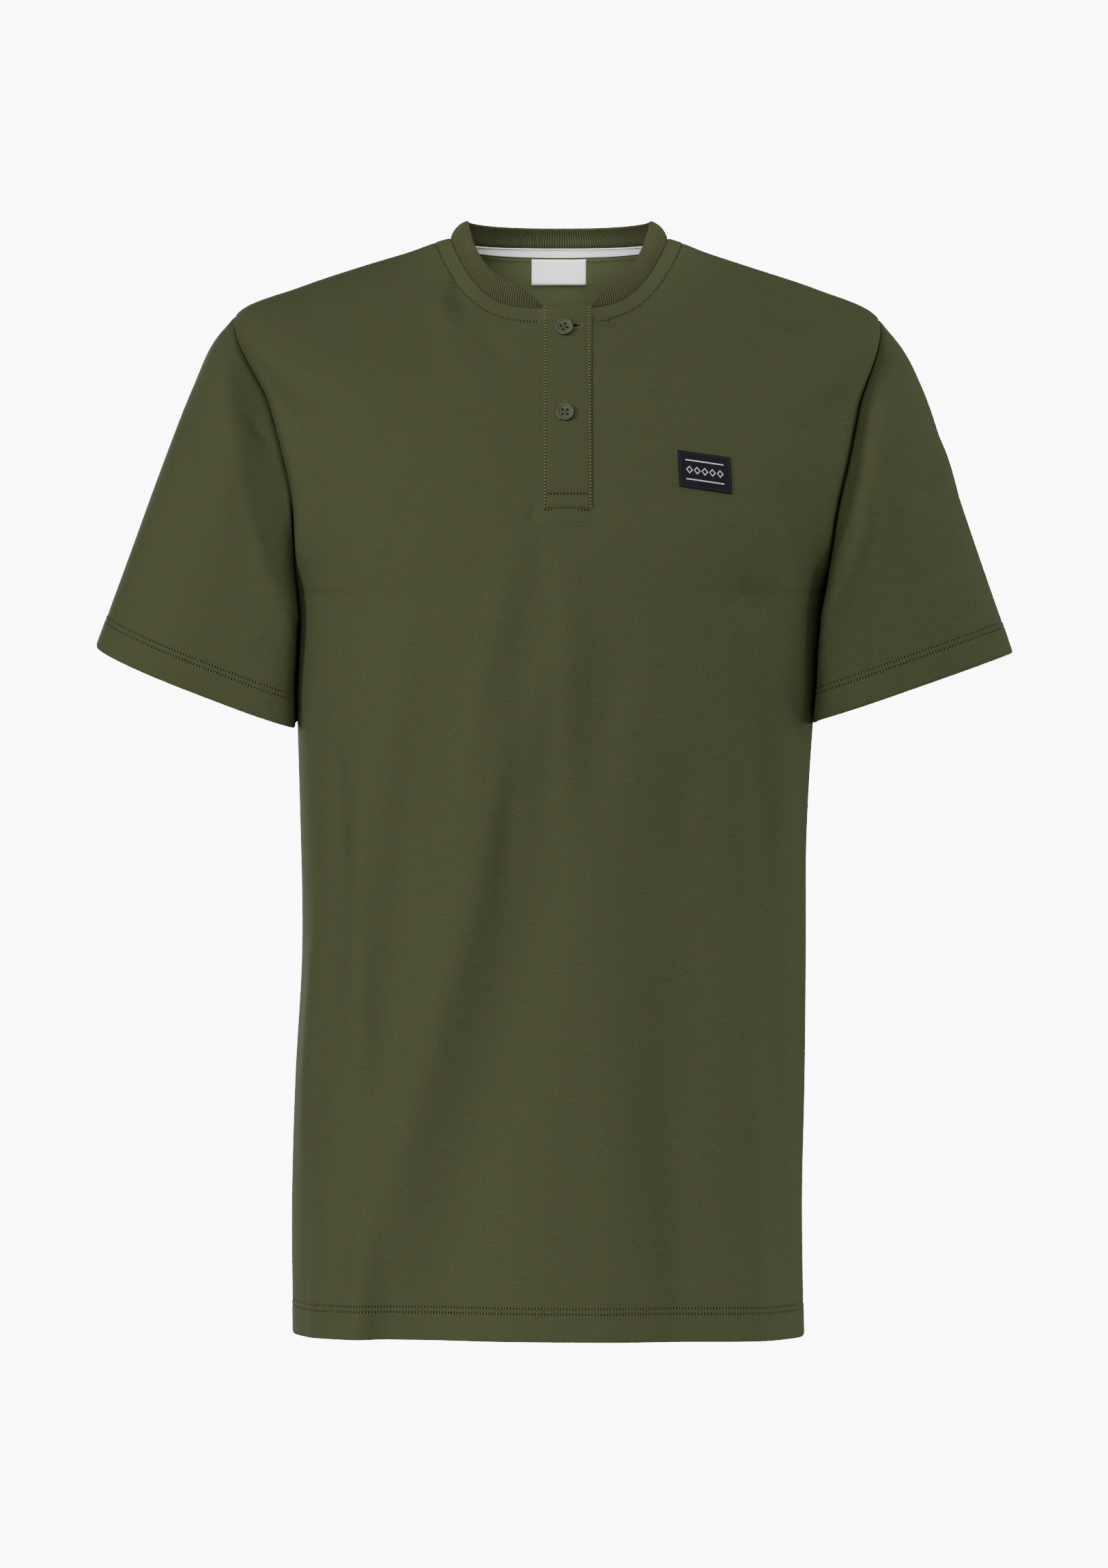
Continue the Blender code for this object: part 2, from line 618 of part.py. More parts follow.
def button(name, place, facing, turned, finish):
    """A turned four-hole button with a raised rim, flat on its underside."""
    outline = [(radius * MM, 0.0, height * MM) for radius, height in BUTTON_PROFILE]
    links = [(index, index + 1) for index in range(len(outline) - 1)]
    mesh = bpy.data.meshes.new(name)
    mesh.from_pydata(outline, links, [])
    made = bpy.data.objects.new(name, mesh)
    mesh.materials.append(finish)
    SHIRT.objects.link(made)
    turn = made.modifiers.new("turn", "SCREW")
    turn.steps = turn.render_steps = BUTTON_STEPS
    turn.use_merge_vertices = True
    turn.merge_threshold = MERGE
    turn.use_normal_flip = False
    for index in range(4):
        angle = math.pi / 4 + index * math.pi / 2 + math.radians(turned)
        cutter = hole_cutter(f"{name}_hole_{index + 1}", angle)
        cutter.parent = made
        cut = made.modifiers.new(f"hole {index + 1}", "BOOLEAN")
        cut.object = cutter
        cut.operation = "DIFFERENCE"
    made.location = place
    made.rotation_mode = "QUATERNION"
    made.rotation_quaternion = Vector(facing).to_track_quat("Z", "Y")
    return made


def hole_cutter(name, angle):
    place = (BUTTON_HOLE_OFFSET * math.cos(angle), BUTTON_HOLE_OFFSET * math.sin(angle), 0.0)
    bpy.ops.mesh.primitive_cylinder_add(
        vertices=BUTTON_HOLE_SIDES,
        radius=BUTTON_HOLE_RADIUS,
        depth=4 * BUTTON_HEIGHT,
        location=place,
    )
    cutter = bpy.context.active_object
    cutter.name = name
    for collection in list(cutter.users_collection):
        collection.objects.unlink(cutter)
    CUTTERS.objects.link(cutter)
    cutter.hide_render = True
    cutter.display_type = "WIRE"
    return cutter


def chest_patch(front, finish):
    """Woven patch that lies on the chest, a few degrees off level."""
    columns, rows = PATCH_CELLS
    grid = np.zeros((rows + 1, columns + 1, 3))
    for row in range(rows + 1):
        for column in range(columns + 1):
            across = (column / columns - 0.5) * PATCH_WIDTH
            up = (row / rows - 0.5) * PATCH_HEIGHT
            x = PATCH_MIDDLE[0] + across - up * PATCH_LEAN
            z = PATCH_MIDDLE[1] + up - across * PATCH_FALL
            point, normal = surface_at(front, x, z)
            grid[row, column] = point + normal * (PATCH_LIFT + TRIM_CLOTH)
    return cloth_piece("chest_patch", grid, finish, TRIM_CLOTH)


# ---------------------------------------------------------------- build

for old in list(bpy.data.objects):
    bpy.data.objects.remove(old)
SHIRT = bpy.data.collections.new("polo_shirt")
CUTTERS = bpy.data.collections.new("cutters")
bpy.context.scene.collection.children.link(SHIRT)
bpy.context.scene.collection.children.link(CUTTERS)

pique = material("olive_pique", OLIVE, 0.85)
rib_knit = material("olive_rib", RIB_OLIVE, 0.85)
tape_cloth = material("white_tape", TAPE_WHITE, 0.75)
patch_cloth = material("black_patch", PATCH_BLACK, 0.7)
button_resin = material("button_green", BUTTON_GREEN, 0.45)

# Front, with the slot that the placket closes
band_left = PLACKET_MIDDLE - PLACKET_WIDTH / 2
band_right = PLACKET_MIDDLE + PLACKET_WIDTH / 2
slot_left, slot_right = band_left + PLACKET_LAP, band_right - PLACKET_LAP
front_cells = (FRONT_SIDE_CELLS, 1, SLOT_CELLS, 1, FRONT_SIDE_CELLS)
climbs = row_climbs("hem", "neck")
front = panel_grid("front", (band_left, slot_left, slot_right, band_right), front_cells)
slot_row = climbs_row(climbs, "slot foot")
first_slot_cell = FRONT_SIDE_CELLS + 1


def in_slot(row, column):
    return row >= slot_row and first_slot_cell <= column < first_slot_cell + SLOT_CELLS


cloth_piece("front", front, pique, CLOTH, left_out=in_slot)

# Back
back_cells = (BACK_SIDE_CELLS, LABEL_CELLS, BACK_SIDE_CELLS)
back = panel_grid("back", LABEL_SIDES, back_cells)
cloth_piece("back", back, pique, CLOTH)

# Sleeves
for sleeve_side, sleeve_stations in (("left", LEFT_SLEEVE), ("right", RIGHT_SLEEVE)):
    sleeve = sleeve_grid(front, back, climbs, sleeve_side, sleeve_stations)
    if sleeve_side == "right":
        sleeve = sleeve[:, ::-1]
    cloth_piece(f"sleeve_{sleeve_side}", sleeve[::-1], pique, CLOTH, closed=True)

# Placket: the under band fills the slot, and the upper band lies on it and on the slot's edges
rim = unit(front[-1] - front[-2]) * PLACKET_ABOVE_NECK
with_rim = np.concatenate([front, (front[-1] + rim)[None]])
normals = outward_normals(with_rim)
upper = slice(FRONT_SIDE_CELLS, FRONT_SIDE_CELLS + SLOT_CELLS + 3)
upper_foot = slot_row - PLACKET_ROWS_BELOW_SLOT
upper_band = (with_rim + normals * (SEAM + PLACKET_CLOTH))[upper_foot:, upper]
cloth_piece("placket_upper", upper_band, pique, PLACKET_CLOTH)
under = slice(first_slot_cell, first_slot_cell + SLOT_CELLS + 1)
under_band = with_rim[slot_row:, under].copy()
under_band[:, 0, 0] += SEAM
under_band[:, -1, 0] -= SEAM
under_band[0] += unit(under_band[1] - under_band[0]) * SEAM
cloth_piece("placket_under", under_band, pique, PLACKET_CLOTH)

# Collar
rib_collar(rib_knit)

# Neck tape over the back neck seam, and the label below it, both on the inside of the back
inner_back = back - outward_normals(back) * (CLOTH + SEAM)
tape_row = climbs_row(climbs, "tape foot")
label_row = climbs_row(climbs, "label foot")
cloth_piece("neck_tape", inner_back[tape_row:], tape_cloth, TRIM_CLOTH)
label_columns = slice(BACK_SIDE_CELLS, BACK_SIDE_CELLS + LABEL_CELLS + 1)
label_grid = inner_back[label_row:tape_row + 1, label_columns].copy()
label_grid[-1] -= unit(label_grid[-1] - label_grid[-2]) * SEAM
cloth_piece("neck_label", label_grid, tape_cloth, TRIM_CLOTH)

# Chest patch
chest_patch(front, patch_cloth)

# Buttons, on the upper band
for each in BUTTONS:
    place, facing = surface_at(front, each.x * MM, each.z * MM)
    place = place + facing * (SEAM + PLACKET_CLOTH + BUTTON_LIFT)
    button(each.name, place, facing, each.turn, button_resin)
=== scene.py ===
import math
from collections import namedtuple

import bmesh
import bpy
import numpy as np
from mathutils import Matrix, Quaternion, Vector


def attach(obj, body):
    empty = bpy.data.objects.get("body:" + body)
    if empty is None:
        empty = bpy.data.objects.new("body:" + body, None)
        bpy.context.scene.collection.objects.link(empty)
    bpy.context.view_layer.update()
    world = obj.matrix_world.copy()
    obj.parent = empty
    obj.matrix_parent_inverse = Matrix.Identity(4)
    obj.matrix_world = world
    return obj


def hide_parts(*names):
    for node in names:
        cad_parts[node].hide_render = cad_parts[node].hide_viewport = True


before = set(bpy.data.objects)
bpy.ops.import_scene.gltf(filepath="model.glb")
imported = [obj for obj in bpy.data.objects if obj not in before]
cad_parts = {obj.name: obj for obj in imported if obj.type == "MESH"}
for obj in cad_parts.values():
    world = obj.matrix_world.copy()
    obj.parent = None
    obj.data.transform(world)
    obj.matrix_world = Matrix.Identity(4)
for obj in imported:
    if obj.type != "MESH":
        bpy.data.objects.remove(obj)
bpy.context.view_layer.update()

MM = 0.001


# ---------------------------------------------------------------- front panel
# The front is one panel of olive pique knit, cut with round armholes and slit at the neck for the placket.
# It is filled out as when worn and hangs in soft folds; its hem is turned up 22 mm and sewn with two needles.

# Rings of the body from the hem to the neck seam, in millimetres: side_* is the ring's height at each side,
# front and back its height in the middle, left and right its reach along X, *_y its reach along Y.
Ring = namedtuple("Ring", "name side_left side_right front back left right side_y front_y back_y square")
RINGS = [
    Ring("hem",         -727.1, -728.8, -726.2, -727, -174.2, 160.4, 0, -118, 118, 2.70),
    Ring("low hip",     -640, -640, -640, -640, -175.3, 159.6, 0, -117, 117, 2.70),
    Ring("hip",         -560, -560, -560, -560, -173.5, 161.6, 0, -116, 116, 2.70),
    Ring("waist",       -470, -470, -470, -470, -169.3, 162.8, 0, -116, 114, 2.65),
    Ring("high waist",  -390, -390, -390, -390, -170.8, 163.7, 1, -117, 116, 2.60),
    Ring("under chest", -310, -310, -310, -310, -174.4, 170.0, 2, -119.5, 121, 2.55),
    Ring("underarm",    -237, -237, -238, -237, -174.8, 177.4, 3, -119.3, 125, 2.55),
    Ring("armhole low", -196, -196, -203, -200, -182.0, 188.0, 3, -118, 126, 2.55),
    Ring("slot foot",   -155, -157, -174, -166, -190.5, 199.5, 4, -113, 124, 2.50),
    Ring("band foot",   -147, -149, -168, -160, -192.5, 201.5, 4, -112, 123, 2.50),
    Ring("armhole high", -104, -106, -143, -126, -202.0, 208.5, 5, -106, 116, 2.45),
    Ring("shoulder",    -49,  -51, -108,  -78, -215.2, 212.2, 6, -95, 100, 2.40),
    Ring("yoke out",    -30.5, -32.3,  -87,  -52, -172.0, 172.0, 6, -87, 89, 2.30),
    Ring("yoke in",     -16.5, -18.3,  -71,  -32, -130.0, 130.0, 5, -80.5, 80.5, 2.25),
    Ring("label foot",  -6.8, -7.8,   -60,  -20, -98.0, 98.0, 4, -76, 75, 2.20),
    Ring("tape foot",   -0.9, -1.4,   -55,   -7, -81.5, 81.5, 3, -73.5, 70, 2.15),
    Ring("neck",         1.5,  1.4,   -49,    0, -72.8, 72.6, 2, -71, 65.5, 2.10),
]
RING_DIP = 3.8              # how sharply a ring drops from its sides to its middle
RING_NAMES = [ring.name for ring in RINGS]
ARMHOLE_FRONT = 53.0 * MM   # how far the armhole seam runs forward of the side
ARMHOLE_BACK = 62.0 * MM
ARMHOLE_WIDEST = 0.40       # share of the way up
ROLL_HEIGHT = 5.0 * MM      # soft roll of the body beside the armhole seam
ROLL_FROM_SEAM = 15.0 * MM
ROLL_WIDTH = 10.0 * MM

# Drape of both panels: from_mid is the distance from the panel's middle round the body, + towards +X.
Fold = namedtuple("Fold", "panel top_from_mid top_z foot_from_mid foot_z "
                          "top_width foot_width top_depth foot_depth")
FOLDS = [
    Fold("front", -96, -215, -165, -729, 13, 16, 2.0, 3.2),
    Fold("front", -72, -250, -112, -729, 16, 26, -1.5, -2.5),
    Fold("front", -6, -250, -134, -729, 15, 19, 2.5, 7.0),
    Fold("front", 28, -260, -80, -729, 22, 35, -2.5, -11.0),
    Fold("front", 12, -300, 16, -729, 40, 60, 1.5, 4.5),
    Fold("front", 62, -290, 92, -729, 17, 30, -2.0, -4.5),
    Fold("front", 105, -300, 140, -729, 18, 28, 2.0, 4.0),
    Fold("front", 128, -240, 176, -729, 14, 20, -1.5, -2.5),
    Fold("front", -232, -300, -236, -729, 22, 30, 1.0, 3.0),
    Fold("front", 236, -300, 232, -729, 22, 30, 1.0, 2.5),
    Fold("back", -150, -230, -166, -729, 20, 30, -2.0, -4.5),
    Fold("back", -104, -260, -112, -729, 22, 32, 2.0, 5.5),
    Fold("back", -52, -230, -50, -729, 20, 30, -2.0, -6.0),
    Fold("back", 6, -280, 12, -729, 24, 36, 2.0, 6.0),
    Fold("back", 58, -240, 74, -729, 20, 30, -2.0, -5.5),
    Fold("back", 112, -250, 126, -729, 22, 32, 2.0, 5.0),
    Fold("back", 156, -220, 176, -729, 18, 26, -1.5, -3.5),
]
FOLD_FADE = 90.0 * MM


def smooth_through(stations, values, at):
    """Values at the places in at, on a cubic whose slope at each station comes from its two neighbours."""
    stations = np.asarray(stations, float)
    values = np.asarray(values, float)
    at = np.atleast_1d(at)
    slopes = np.gradient(values, stations, axis=0)
    low = np.clip(np.searchsorted(stations, at, side="right") - 1, 0, len(stations) - 2)
    span = stations[low + 1] - stations[low]
    share = (at - stations[low]) / span
    extra = (1,) * (values.ndim - 1)
    share = share.reshape(-1, *extra)
    span = span.reshape(-1, *extra)
    return ((2 * share**3 - 3 * share**2 + 1) * values[low]
            + (share**3 - 2 * share**2 + share) * span * slopes[low]
            + (3 * share**2 - 2 * share**3) * values[low + 1]
            + (share**3 - share**2) * span * slopes[low + 1])


def unit(vectors):
    length = np.linalg.norm(vectors, axis=-1, keepdims=True)
    return vectors / np.maximum(length, 1e-12)


def travelled(points):
    """Distance along a polyline at each of its points."""
    return np.concatenate([[0.0], np.cumsum(np.linalg.norm(np.diff(points, axis=0), axis=1))])


def along(points, places):
    """Points at the given distances along a polyline."""
    way = travelled(points)
    return np.stack([np.interp(places, way, points[:, axis]) for axis in range(points.shape[1])], axis=1)


def ease(share):
    """0 to 1 with no corner at either end."""
    share = np.clip(share, 0.0, 1.0)
    return share * share * (3 - 2 * share)


def bell(distance, width):
    return np.exp(-(distance / width) ** 2)


RING_ROWS = np.array([ring[1:] for ring in RINGS], float)
RING_ROWS[:, :-1] *= MM
RING_CLIMBS = np.concatenate([[0.0], np.cumsum((
    np.hypot(np.diff(RING_ROWS[:, 0]), np.diff(RING_ROWS[:, 4]))
    + np.hypot(np.diff(RING_ROWS[:, 2]), np.diff(RING_ROWS[:, 7]))
    + np.hypot(np.diff(RING_ROWS[:, 3]), np.diff(RING_ROWS[:, 8]))) / 3)])
CLIMB_OF = dict(zip(RING_NAMES, RING_CLIMBS))


def ring_at(climb):
    return smooth_through(RING_CLIMBS, RING_ROWS, climb)[0]


def plain_points(angles, ring):
    """Points of a ring without folds. The angle is 0 at the middle front and grows towards +X."""
    side_left, side_right, front, back, left, right, side_y, front_y, back_y, square = ring
    sine, cosine = np.sin(angles), np.cos(angles)
    across = np.sign(sine) * np.abs(sine) ** (2 / square)
    depth = np.abs(cosine) ** (2 / square)
    faces_front = cosine >= 0
    middle_z = np.where(faces_front, front, back)
    middle_y = np.where(faces_front, front_y, back_y)
    mean_side = (side_left + side_right) / 2
    side_z = mean_side + (side_right - side_left) / 2 * across
    x = (left + right) / 2 + (right - left) / 2 * across
    y = side_y + (middle_y - side_y) * depth
    z = side_z + (middle_z - mean_side) * (1 - np.abs(across) ** RING_DIP)
    return np.stack([x, y, z], axis=1)


def girths(angles, ring):
    """Distance round the ring from the middle front, and from the middle back, positive towards +X."""
    dense = np.linspace(-math.pi, math.pi, 361)
    way = travelled(plain_points(dense, ring))
    turned = (np.asarray(angles) + math.pi) % (2 * math.pi) - math.pi
    from_front = np.interp(turned, dense, way - way[180])
    half = way[-1] / 2
    from_back = np.where(from_front >= 0, half - from_front, -half - from_front)
    return from_front, from_back


def fold_depth(from_front, from_back, z):
    """How far the drape stands out of the smooth body at each point."""
    depth = np.zeros_like(z)
    for fold in FOLDS:
        from_mid = from_front if fold.panel == "front" else from_back
        share = (fold.top_z * MM - z) / ((fold.top_z - fold.foot_z) * MM)
        line = (fold.top_from_mid + (fold.foot_from_mid - fold.top_from_mid) * share) * MM
        width = (fold.top_width + (fold.foot_width - fold.top_width) * np.clip(share, 0, 1)) * MM
        height = (fold.top_depth + (fold.foot_depth - fold.top_depth) * np.clip(share, 0, 1)) * MM
        depth += height * ease((fold.top_z * MM - z) / FOLD_FADE) * bell(from_mid - line, width)
    return depth


def armhole_share(climb):
    """Width of the armhole at this climb, as a share of its greatest."""
    way = (climb - CLIMB_OF["underarm"]) / (CLIMB_OF["shoulder"] - CLIMB_OF["underarm"])
    if not 0 < way < 1:
        return 0.0
    reach = ARMHOLE_WIDEST if way < ARMHOLE_WIDEST else 1 - ARMHOLE_WIDEST
    return math.sqrt(max(0.0, 1 - ((way - ARMHOLE_WIDEST) / reach) ** 2))


def seam_angle(climb, panel):
    """Angle from a panel's middle to its edge: the side seam, the armhole or the shoulder seam."""
    ring = ring_at(climb)
    side_y, front_y, back_y, square = ring[6:]
    reach = ARMHOLE_FRONT if panel == "front" else ARMHOLE_BACK
    middle_y = front_y if panel == "front" else back_y
    depth = armhole_share(climb) * reach / abs(middle_y - side_y)
    return math.acos(min(1.0, depth) ** (square / 2))


def roll_height(from_front, from_back, climb, ring):
    """The soft roll of the body in front of and behind each armhole."""
    if armhole_share(climb) == 0:
        return np.zeros_like(from_front)
    total = np.zeros_like(from_front)
    for panel, from_mid in (("front", from_front), ("back", from_back)):
        edge = abs(girths(np.array([seam_angle(climb, panel)]), ring)[0][0])
        total += bell(edge - np.abs(from_mid) - ROLL_FROM_SEAM, ROLL_WIDTH)
    way = (climb - CLIMB_OF["underarm"]) / (CLIMB_OF["shoulder"] - CLIMB_OF["underarm"])
    return ROLL_HEIGHT * total * ease(way / 0.25) * ease((0.95 - way) / 0.35)


def cloth_points(angles, climb):
    """Outer points of the body at one climb, folds and all."""
    ring = ring_at(climb)
    here = plain_points(angles, ring)
    turn = plain_points(angles + 0.01, ring) - plain_points(angles - 0.01, ring)
    rise = plain_points(angles, ring_at(climb + 0.5 * MM)) - plain_points(angles, ring_at(climb - 0.5 * MM))
    outward = unit(np.cross(turn, rise))
    from_front, from_back = girths(angles, ring)
    height = fold_depth(from_front, from_back, here[:, 2]) + roll_height(from_front, from_back, climb, ring)
    return here + outward * height[:, None]


CLOTH = 1.2 * MM
SEAM = 0.05 * MM            # sewn edges meet
ROW_PITCH = 3.1 * MM
SEAM_CROWDING = 1.25        # how much closer together the columns are beside a seam
BODY_CLIMBS = np.concatenate([
    np.linspace(start, stop, max(1, round((stop - start) / ROW_PITCH)), endpoint=False)
    for start, stop in zip(RING_CLIMBS, RING_CLIMBS[1:])] + [RING_CLIMBS[-1:]])


def climbs_row(name):
    return int(np.argmin(abs(BODY_CLIMBS - CLIMB_OF[name])))


def panel_row(climb, panel, breaks, cells):
    """One row of a panel from seam to seam, with a column line at each X in breaks."""
    edge = seam_angle(climb, panel)
    middle = 0.0 if panel == "front" else math.pi
    points = cloth_points(np.linspace(middle - edge, middle + edge, 321), climb)
    way = travelled(points)
    xs, ways = points[80:-80, 0], way[80:-80]
    if xs[0] > xs[-1]:
        xs, ways = xs[::-1], ways[::-1]
    stops = [SEAM / 2] + [float(np.interp(x, xs, ways)) for x in breaks] + [way[-1] - SEAM / 2]
    places = [stops[0]]
    for index, (start, stop, count) in enumerate(zip(stops, stops[1:], cells)):
        shares = np.linspace(0, 1, count + 1)[1:]
        if index == 0:
            shares = shares ** SEAM_CROWDING
        elif index == len(cells) - 1:
            shares = 1 - (1 - np.linspace(0, 1, count + 1)) ** SEAM_CROWDING
            shares = shares[1:]
        places += list(start + (stop - start) * shares)
    return along(points, places)


def panel_grid(panel, breaks, cells):
    return np.array([panel_row(climb, panel, breaks, cells) for climb in BODY_CLIMBS])


def outward_normals(grid):
    """Unit normals at the grid's points: across the columns, then up the rows, points outwards."""
    return unit(np.cross(np.gradient(grid, axis=1), np.gradient(grid, axis=0)))


# Rows that carry the sewing: millimetres above the hem's edge, and below the neck seam.
HEM_UPPER_ROW, HEM_LOWER_ROW, NECK_STITCH_ROW = 22.0, 18.4, 10.2
HEM_ROWS = [0, 0.4, 1.1, 2.4, 4.6, 7.4, 10.4, 13.2, 15.6, 17.0, 17.8, HEM_LOWER_ROW, 19.0, 19.7, 20.4, 21.3,
            HEM_UPPER_ROW, 22.6, 23.3, 24.4, 26.2]
NECK_ROWS = [14.8, 12.8, 11.4, 10.7, NECK_STITCH_ROW, 9.7, 9.0, 7.6, 5.4, 3.2, 1.6, 0.6, 0]


def with_sewn_rows(grid, top_rows):
    """The same surface with its rows moved to the sewing rows, and how far each is from hem and top."""
    lengths = np.array([travelled(grid[:, column])[-1] for column in range(grid.shape[1])])
    between = round((lengths.max() - (HEM_ROWS[-1] + top_rows[0]) * MM) / ROW_PITCH)
    made, heights = [], []
    for column, length in enumerate(lengths):
        low, high = HEM_ROWS[-1] * MM, length - top_rows[0] * MM
        places = np.concatenate([
            np.array(HEM_ROWS) * MM,
            np.linspace(low, high, between + 1)[1:-1],
            length - np.array(top_rows) * MM])
        made.append(along(grid[:, column], places))
        heights.append(places)
    heights = np.array(heights).T
    return np.array(made).transpose(1, 0, 2), heights, lengths[None] - heights


def row_girths(grid, middle):
    """Distance of each grid point from the panel's middle column, along its row."""
    way = np.array([travelled(row) for row in grid])
    return way - way[:, middle:middle + 1]


# Creases beside the folds: soft ridges (+) and troughs (-) with faded ends, at their distance from the
# panel's middle and their height, in millimetres; bow is how far the line bends sideways.
Crease = namedtuple("Crease", "from_mid from_z to_mid to_z bow width depth")
FRONT_CREASES = [Crease(*row) for row in (
    (12, -57, 38, -58, -1.6, 1.3, -1.9), (14, -61, 44, -62, -1.8, 1.7, -1.7),
    (-16, -174, -25, -194, 0, 2.2, -1.4), (-22, -190, 22, -190, -2, 5, 1.7),
    (-98, -20, -64, -52, 2, 6, -2.0), (-108, -34, -70, -68, 3, 8, 2.0),
    (-62, -58, -30, -84, 3, 7, -1.2), (-84, -64, -40, -108, 5, 8, 1.6),
    (66, -60, 30, -86, -3, 7, -1.2), (80, -60, 36, -112, -5, 9, 1.4),
    (150, -42, 196, -62, 3, 7, -2.2), (150, -58, 200, -84, 3, 9, 2.0),
    (-150, -150, -178, -236, 6, 9, -1.5), (-128, -150, -150, -262, 5, 12, 1.2),
    (158, -156, 182, -244, -6, 9, -1.6), (136, -150, 158, -268, -5, 12, 1.2),
    (122, -226, 152, -254, 2, 10, -3.0), (-160, -270, -214, -330, -4, 11, -2.2),
    (168, -280, 212, -350, 4, 11, -2.2), (-173, -320, -161, -430, 3, 8, -2.8),
    (-148, -300, -134, -600, 5, 10, 3.4), (-23, -176, -75, -430, 6, 12, 2.8),
    (-100, -300, -124, -620, 6, 13, -3.0), (5, -186, 4, -440, 3, 12, 3.0),
    (-20, -240, -44, -480, 3, 9, -2.0), (44, -240, 24, -420, 6, 14, -1.8),
    (80, -330, 98, -450, 5, 15, -2.6), (134, -250, 150, -470, -6, 14, -2.6),
    (110, -420, 132, -640, 6, 15, 2.6), (60, -520, 74, -780, -5, 14, -2.6),
    (34, -460, 40, -820, 6, 16, 2.4), (-190, -420, -200, -640, 6, 16, 2.2),
    (196, -430, 200, -660, -6, 16, -2.2), (-134, -590, -142, -860, 2, 8, 1.8),
    (-119, -560, -124, -860, 0, 9, -1.5), (-20, -185, -10, -250, 2, 8, -0.7),
    (26, -185, 30, -240, -2, 9, 0.5),
)]


def crease_height(creases, from_mid, z):
    total = np.zeros_like(z)
    for crease in creases:
        start = np.array([crease.from_mid, crease.from_z]) * MM
        stop = np.array([crease.to_mid, crease.to_z]) * MM
        length = np.linalg.norm(stop - start)
        way = (stop - start) / length
        share = ((from_mid - start[0]) * way[0] + (z - start[1]) * way[1]) / length
        aside = (from_mid - start[0]) * way[1] - (z - start[1]) * way[0]
        aside = aside - crease.bow * MM * 4 * share * (1 - share)
        faded = ease(share / 0.35) * ease((1 - share) / 0.35)
        total += crease.depth * MM * faded * bell(aside, crease.width * MM)
    return total


# Relief of the hem, in millimetres.
HEM_PAD, HEM_FURROW, HEM_EDGE_ROLL = 0.35, 0.42, 0.55
FURROW_WIDTH, EDGE_ROLL_WIDTH = 0.75, 0.8
PUCKER_PITCHES = (9.5, 13.0, 21.0, 34.0)
PUCKER_MIDDLE, PUCKER_REACH = 19.0, 11.0


def hem_height(above_edge, along_hem, seed):
    """The turned-up hem from outside: a padded band, a furrow under each stitch row, and small puckers."""
    up = above_edge / MM
    band = HEM_PAD * ease((HEM_UPPER_ROW + 1.2 - up) / 2.4)
    furrows = HEM_FURROW * (bell(up - HEM_UPPER_ROW, FURROW_WIDTH) + bell(up - HEM_LOWER_ROW, FURROW_WIDTH))
    edge = HEM_EDGE_ROLL * bell(up, EDGE_ROLL_WIDTH)
    draw = np.random.default_rng(seed)
    pucker = np.zeros_like(up)
    for pitch in PUCKER_PITCHES:
        wave = np.sin(along_hem / MM * 2 * math.pi / pitch + draw.uniform(0, 6.28))
        pucker += wave * draw.uniform(0.05, 0.13)
    return (band - furrows - edge + pucker * bell(up - PUCKER_MIDDLE, PUCKER_REACH)) * MM


def neck_height(below_seam):
    """The band of seam allowance sewn down below the neck seam."""
    down = below_seam / MM
    return (0.3 * ease((NECK_STITCH_ROW - down + 0.6) / 1.5) - 0.4 * bell(down - NECK_STITCH_ROW, 0.7)
            - 0.35 * bell(down, 1.0)) * MM


SEAM_VALLEY, SEAM_VALLEY_WIDTH = 0.75 * MM, 1.5 * MM
SEAM_RIDGE, SEAM_RIDGE_WIDTH, SEAM_RIDGE_AT = 0.25 * MM, 2.6 * MM, 4.5 * MM
CREASES_START = 14.0 * MM   # from a seam


def seam_height(from_edge):
    """The valley that a sewn seam draws into the cloth, and the low ridge of its allowance beside it."""
    return (SEAM_RIDGE * bell(from_edge - SEAM_RIDGE_AT, SEAM_RIDGE_WIDTH)
            - SEAM_VALLEY * bell(from_edge, SEAM_VALLEY_WIDTH))


def from_edges(across):
    """Distance of each grid point from the nearer end of its row."""
    return np.minimum(across - across[:, :1], across[:, -1:] - across)


def finished_panel(plain, middle, creases, seed):
    """Outer points of a sewn panel, and its UV in metres."""
    grid, above_hem, below_neck = with_sewn_rows(plain, NECK_ROWS)
    across = row_girths(grid, middle)
    edge = from_edges(across)
    height = crease_height(creases, across, grid[..., 2]) * ease(edge / CREASES_START)
    height += hem_height(above_hem, across, seed) * ease(edge / (3 * MM))
    height += neck_height(below_neck) * ease(edge / (2 * MM)) + seam_height(edge)
    uv = np.stack([across + 0.5, above_hem], axis=2)
    return grid + outward_normals(grid) * height[..., None], uv


def new_mesh(points, faces, smooth=True):
    mesh = bpy.data.meshes.new("mesh")
    mesh.from_pydata(np.asarray(points).tolist(), [], np.asarray(faces).tolist())
    if smooth:
        mesh.shade_smooth()
    return mesh


def grid_mesh(grid, uv, closed=False, left_out=None):
    """Quads over a grid, with UV in metres of cloth; closed joins the last column to the first."""
    rows, columns = grid.shape[:2]
    last = columns if closed else columns - 1
    row, column = np.meshgrid(np.arange(rows - 1), np.arange(last), indexing="ij")
    row, column = row.ravel(), column.ravel()
    if left_out is not None:
        kept = ~left_out(row, column)
        row, column = row[kept], column[kept]
    beside = (column + 1) % columns
    quads = np.stack([row * columns + column, row * columns + beside,
                      (row + 1) * columns + beside, (row + 1) * columns + column], axis=1)
    corners = np.stack([uv[row, column], uv[row, column + 1],
                        uv[row + 1, column + 1], uv[row + 1, column]], axis=1)
    used, quads = np.unique(quads, return_inverse=True)
    mesh = new_mesh(grid.reshape(-1, 3)[used], quads.reshape(-1, 4))
    mesh.uv_layers.new(name="cloth").data.foreach_set("uv", corners.reshape(-1))
    return mesh


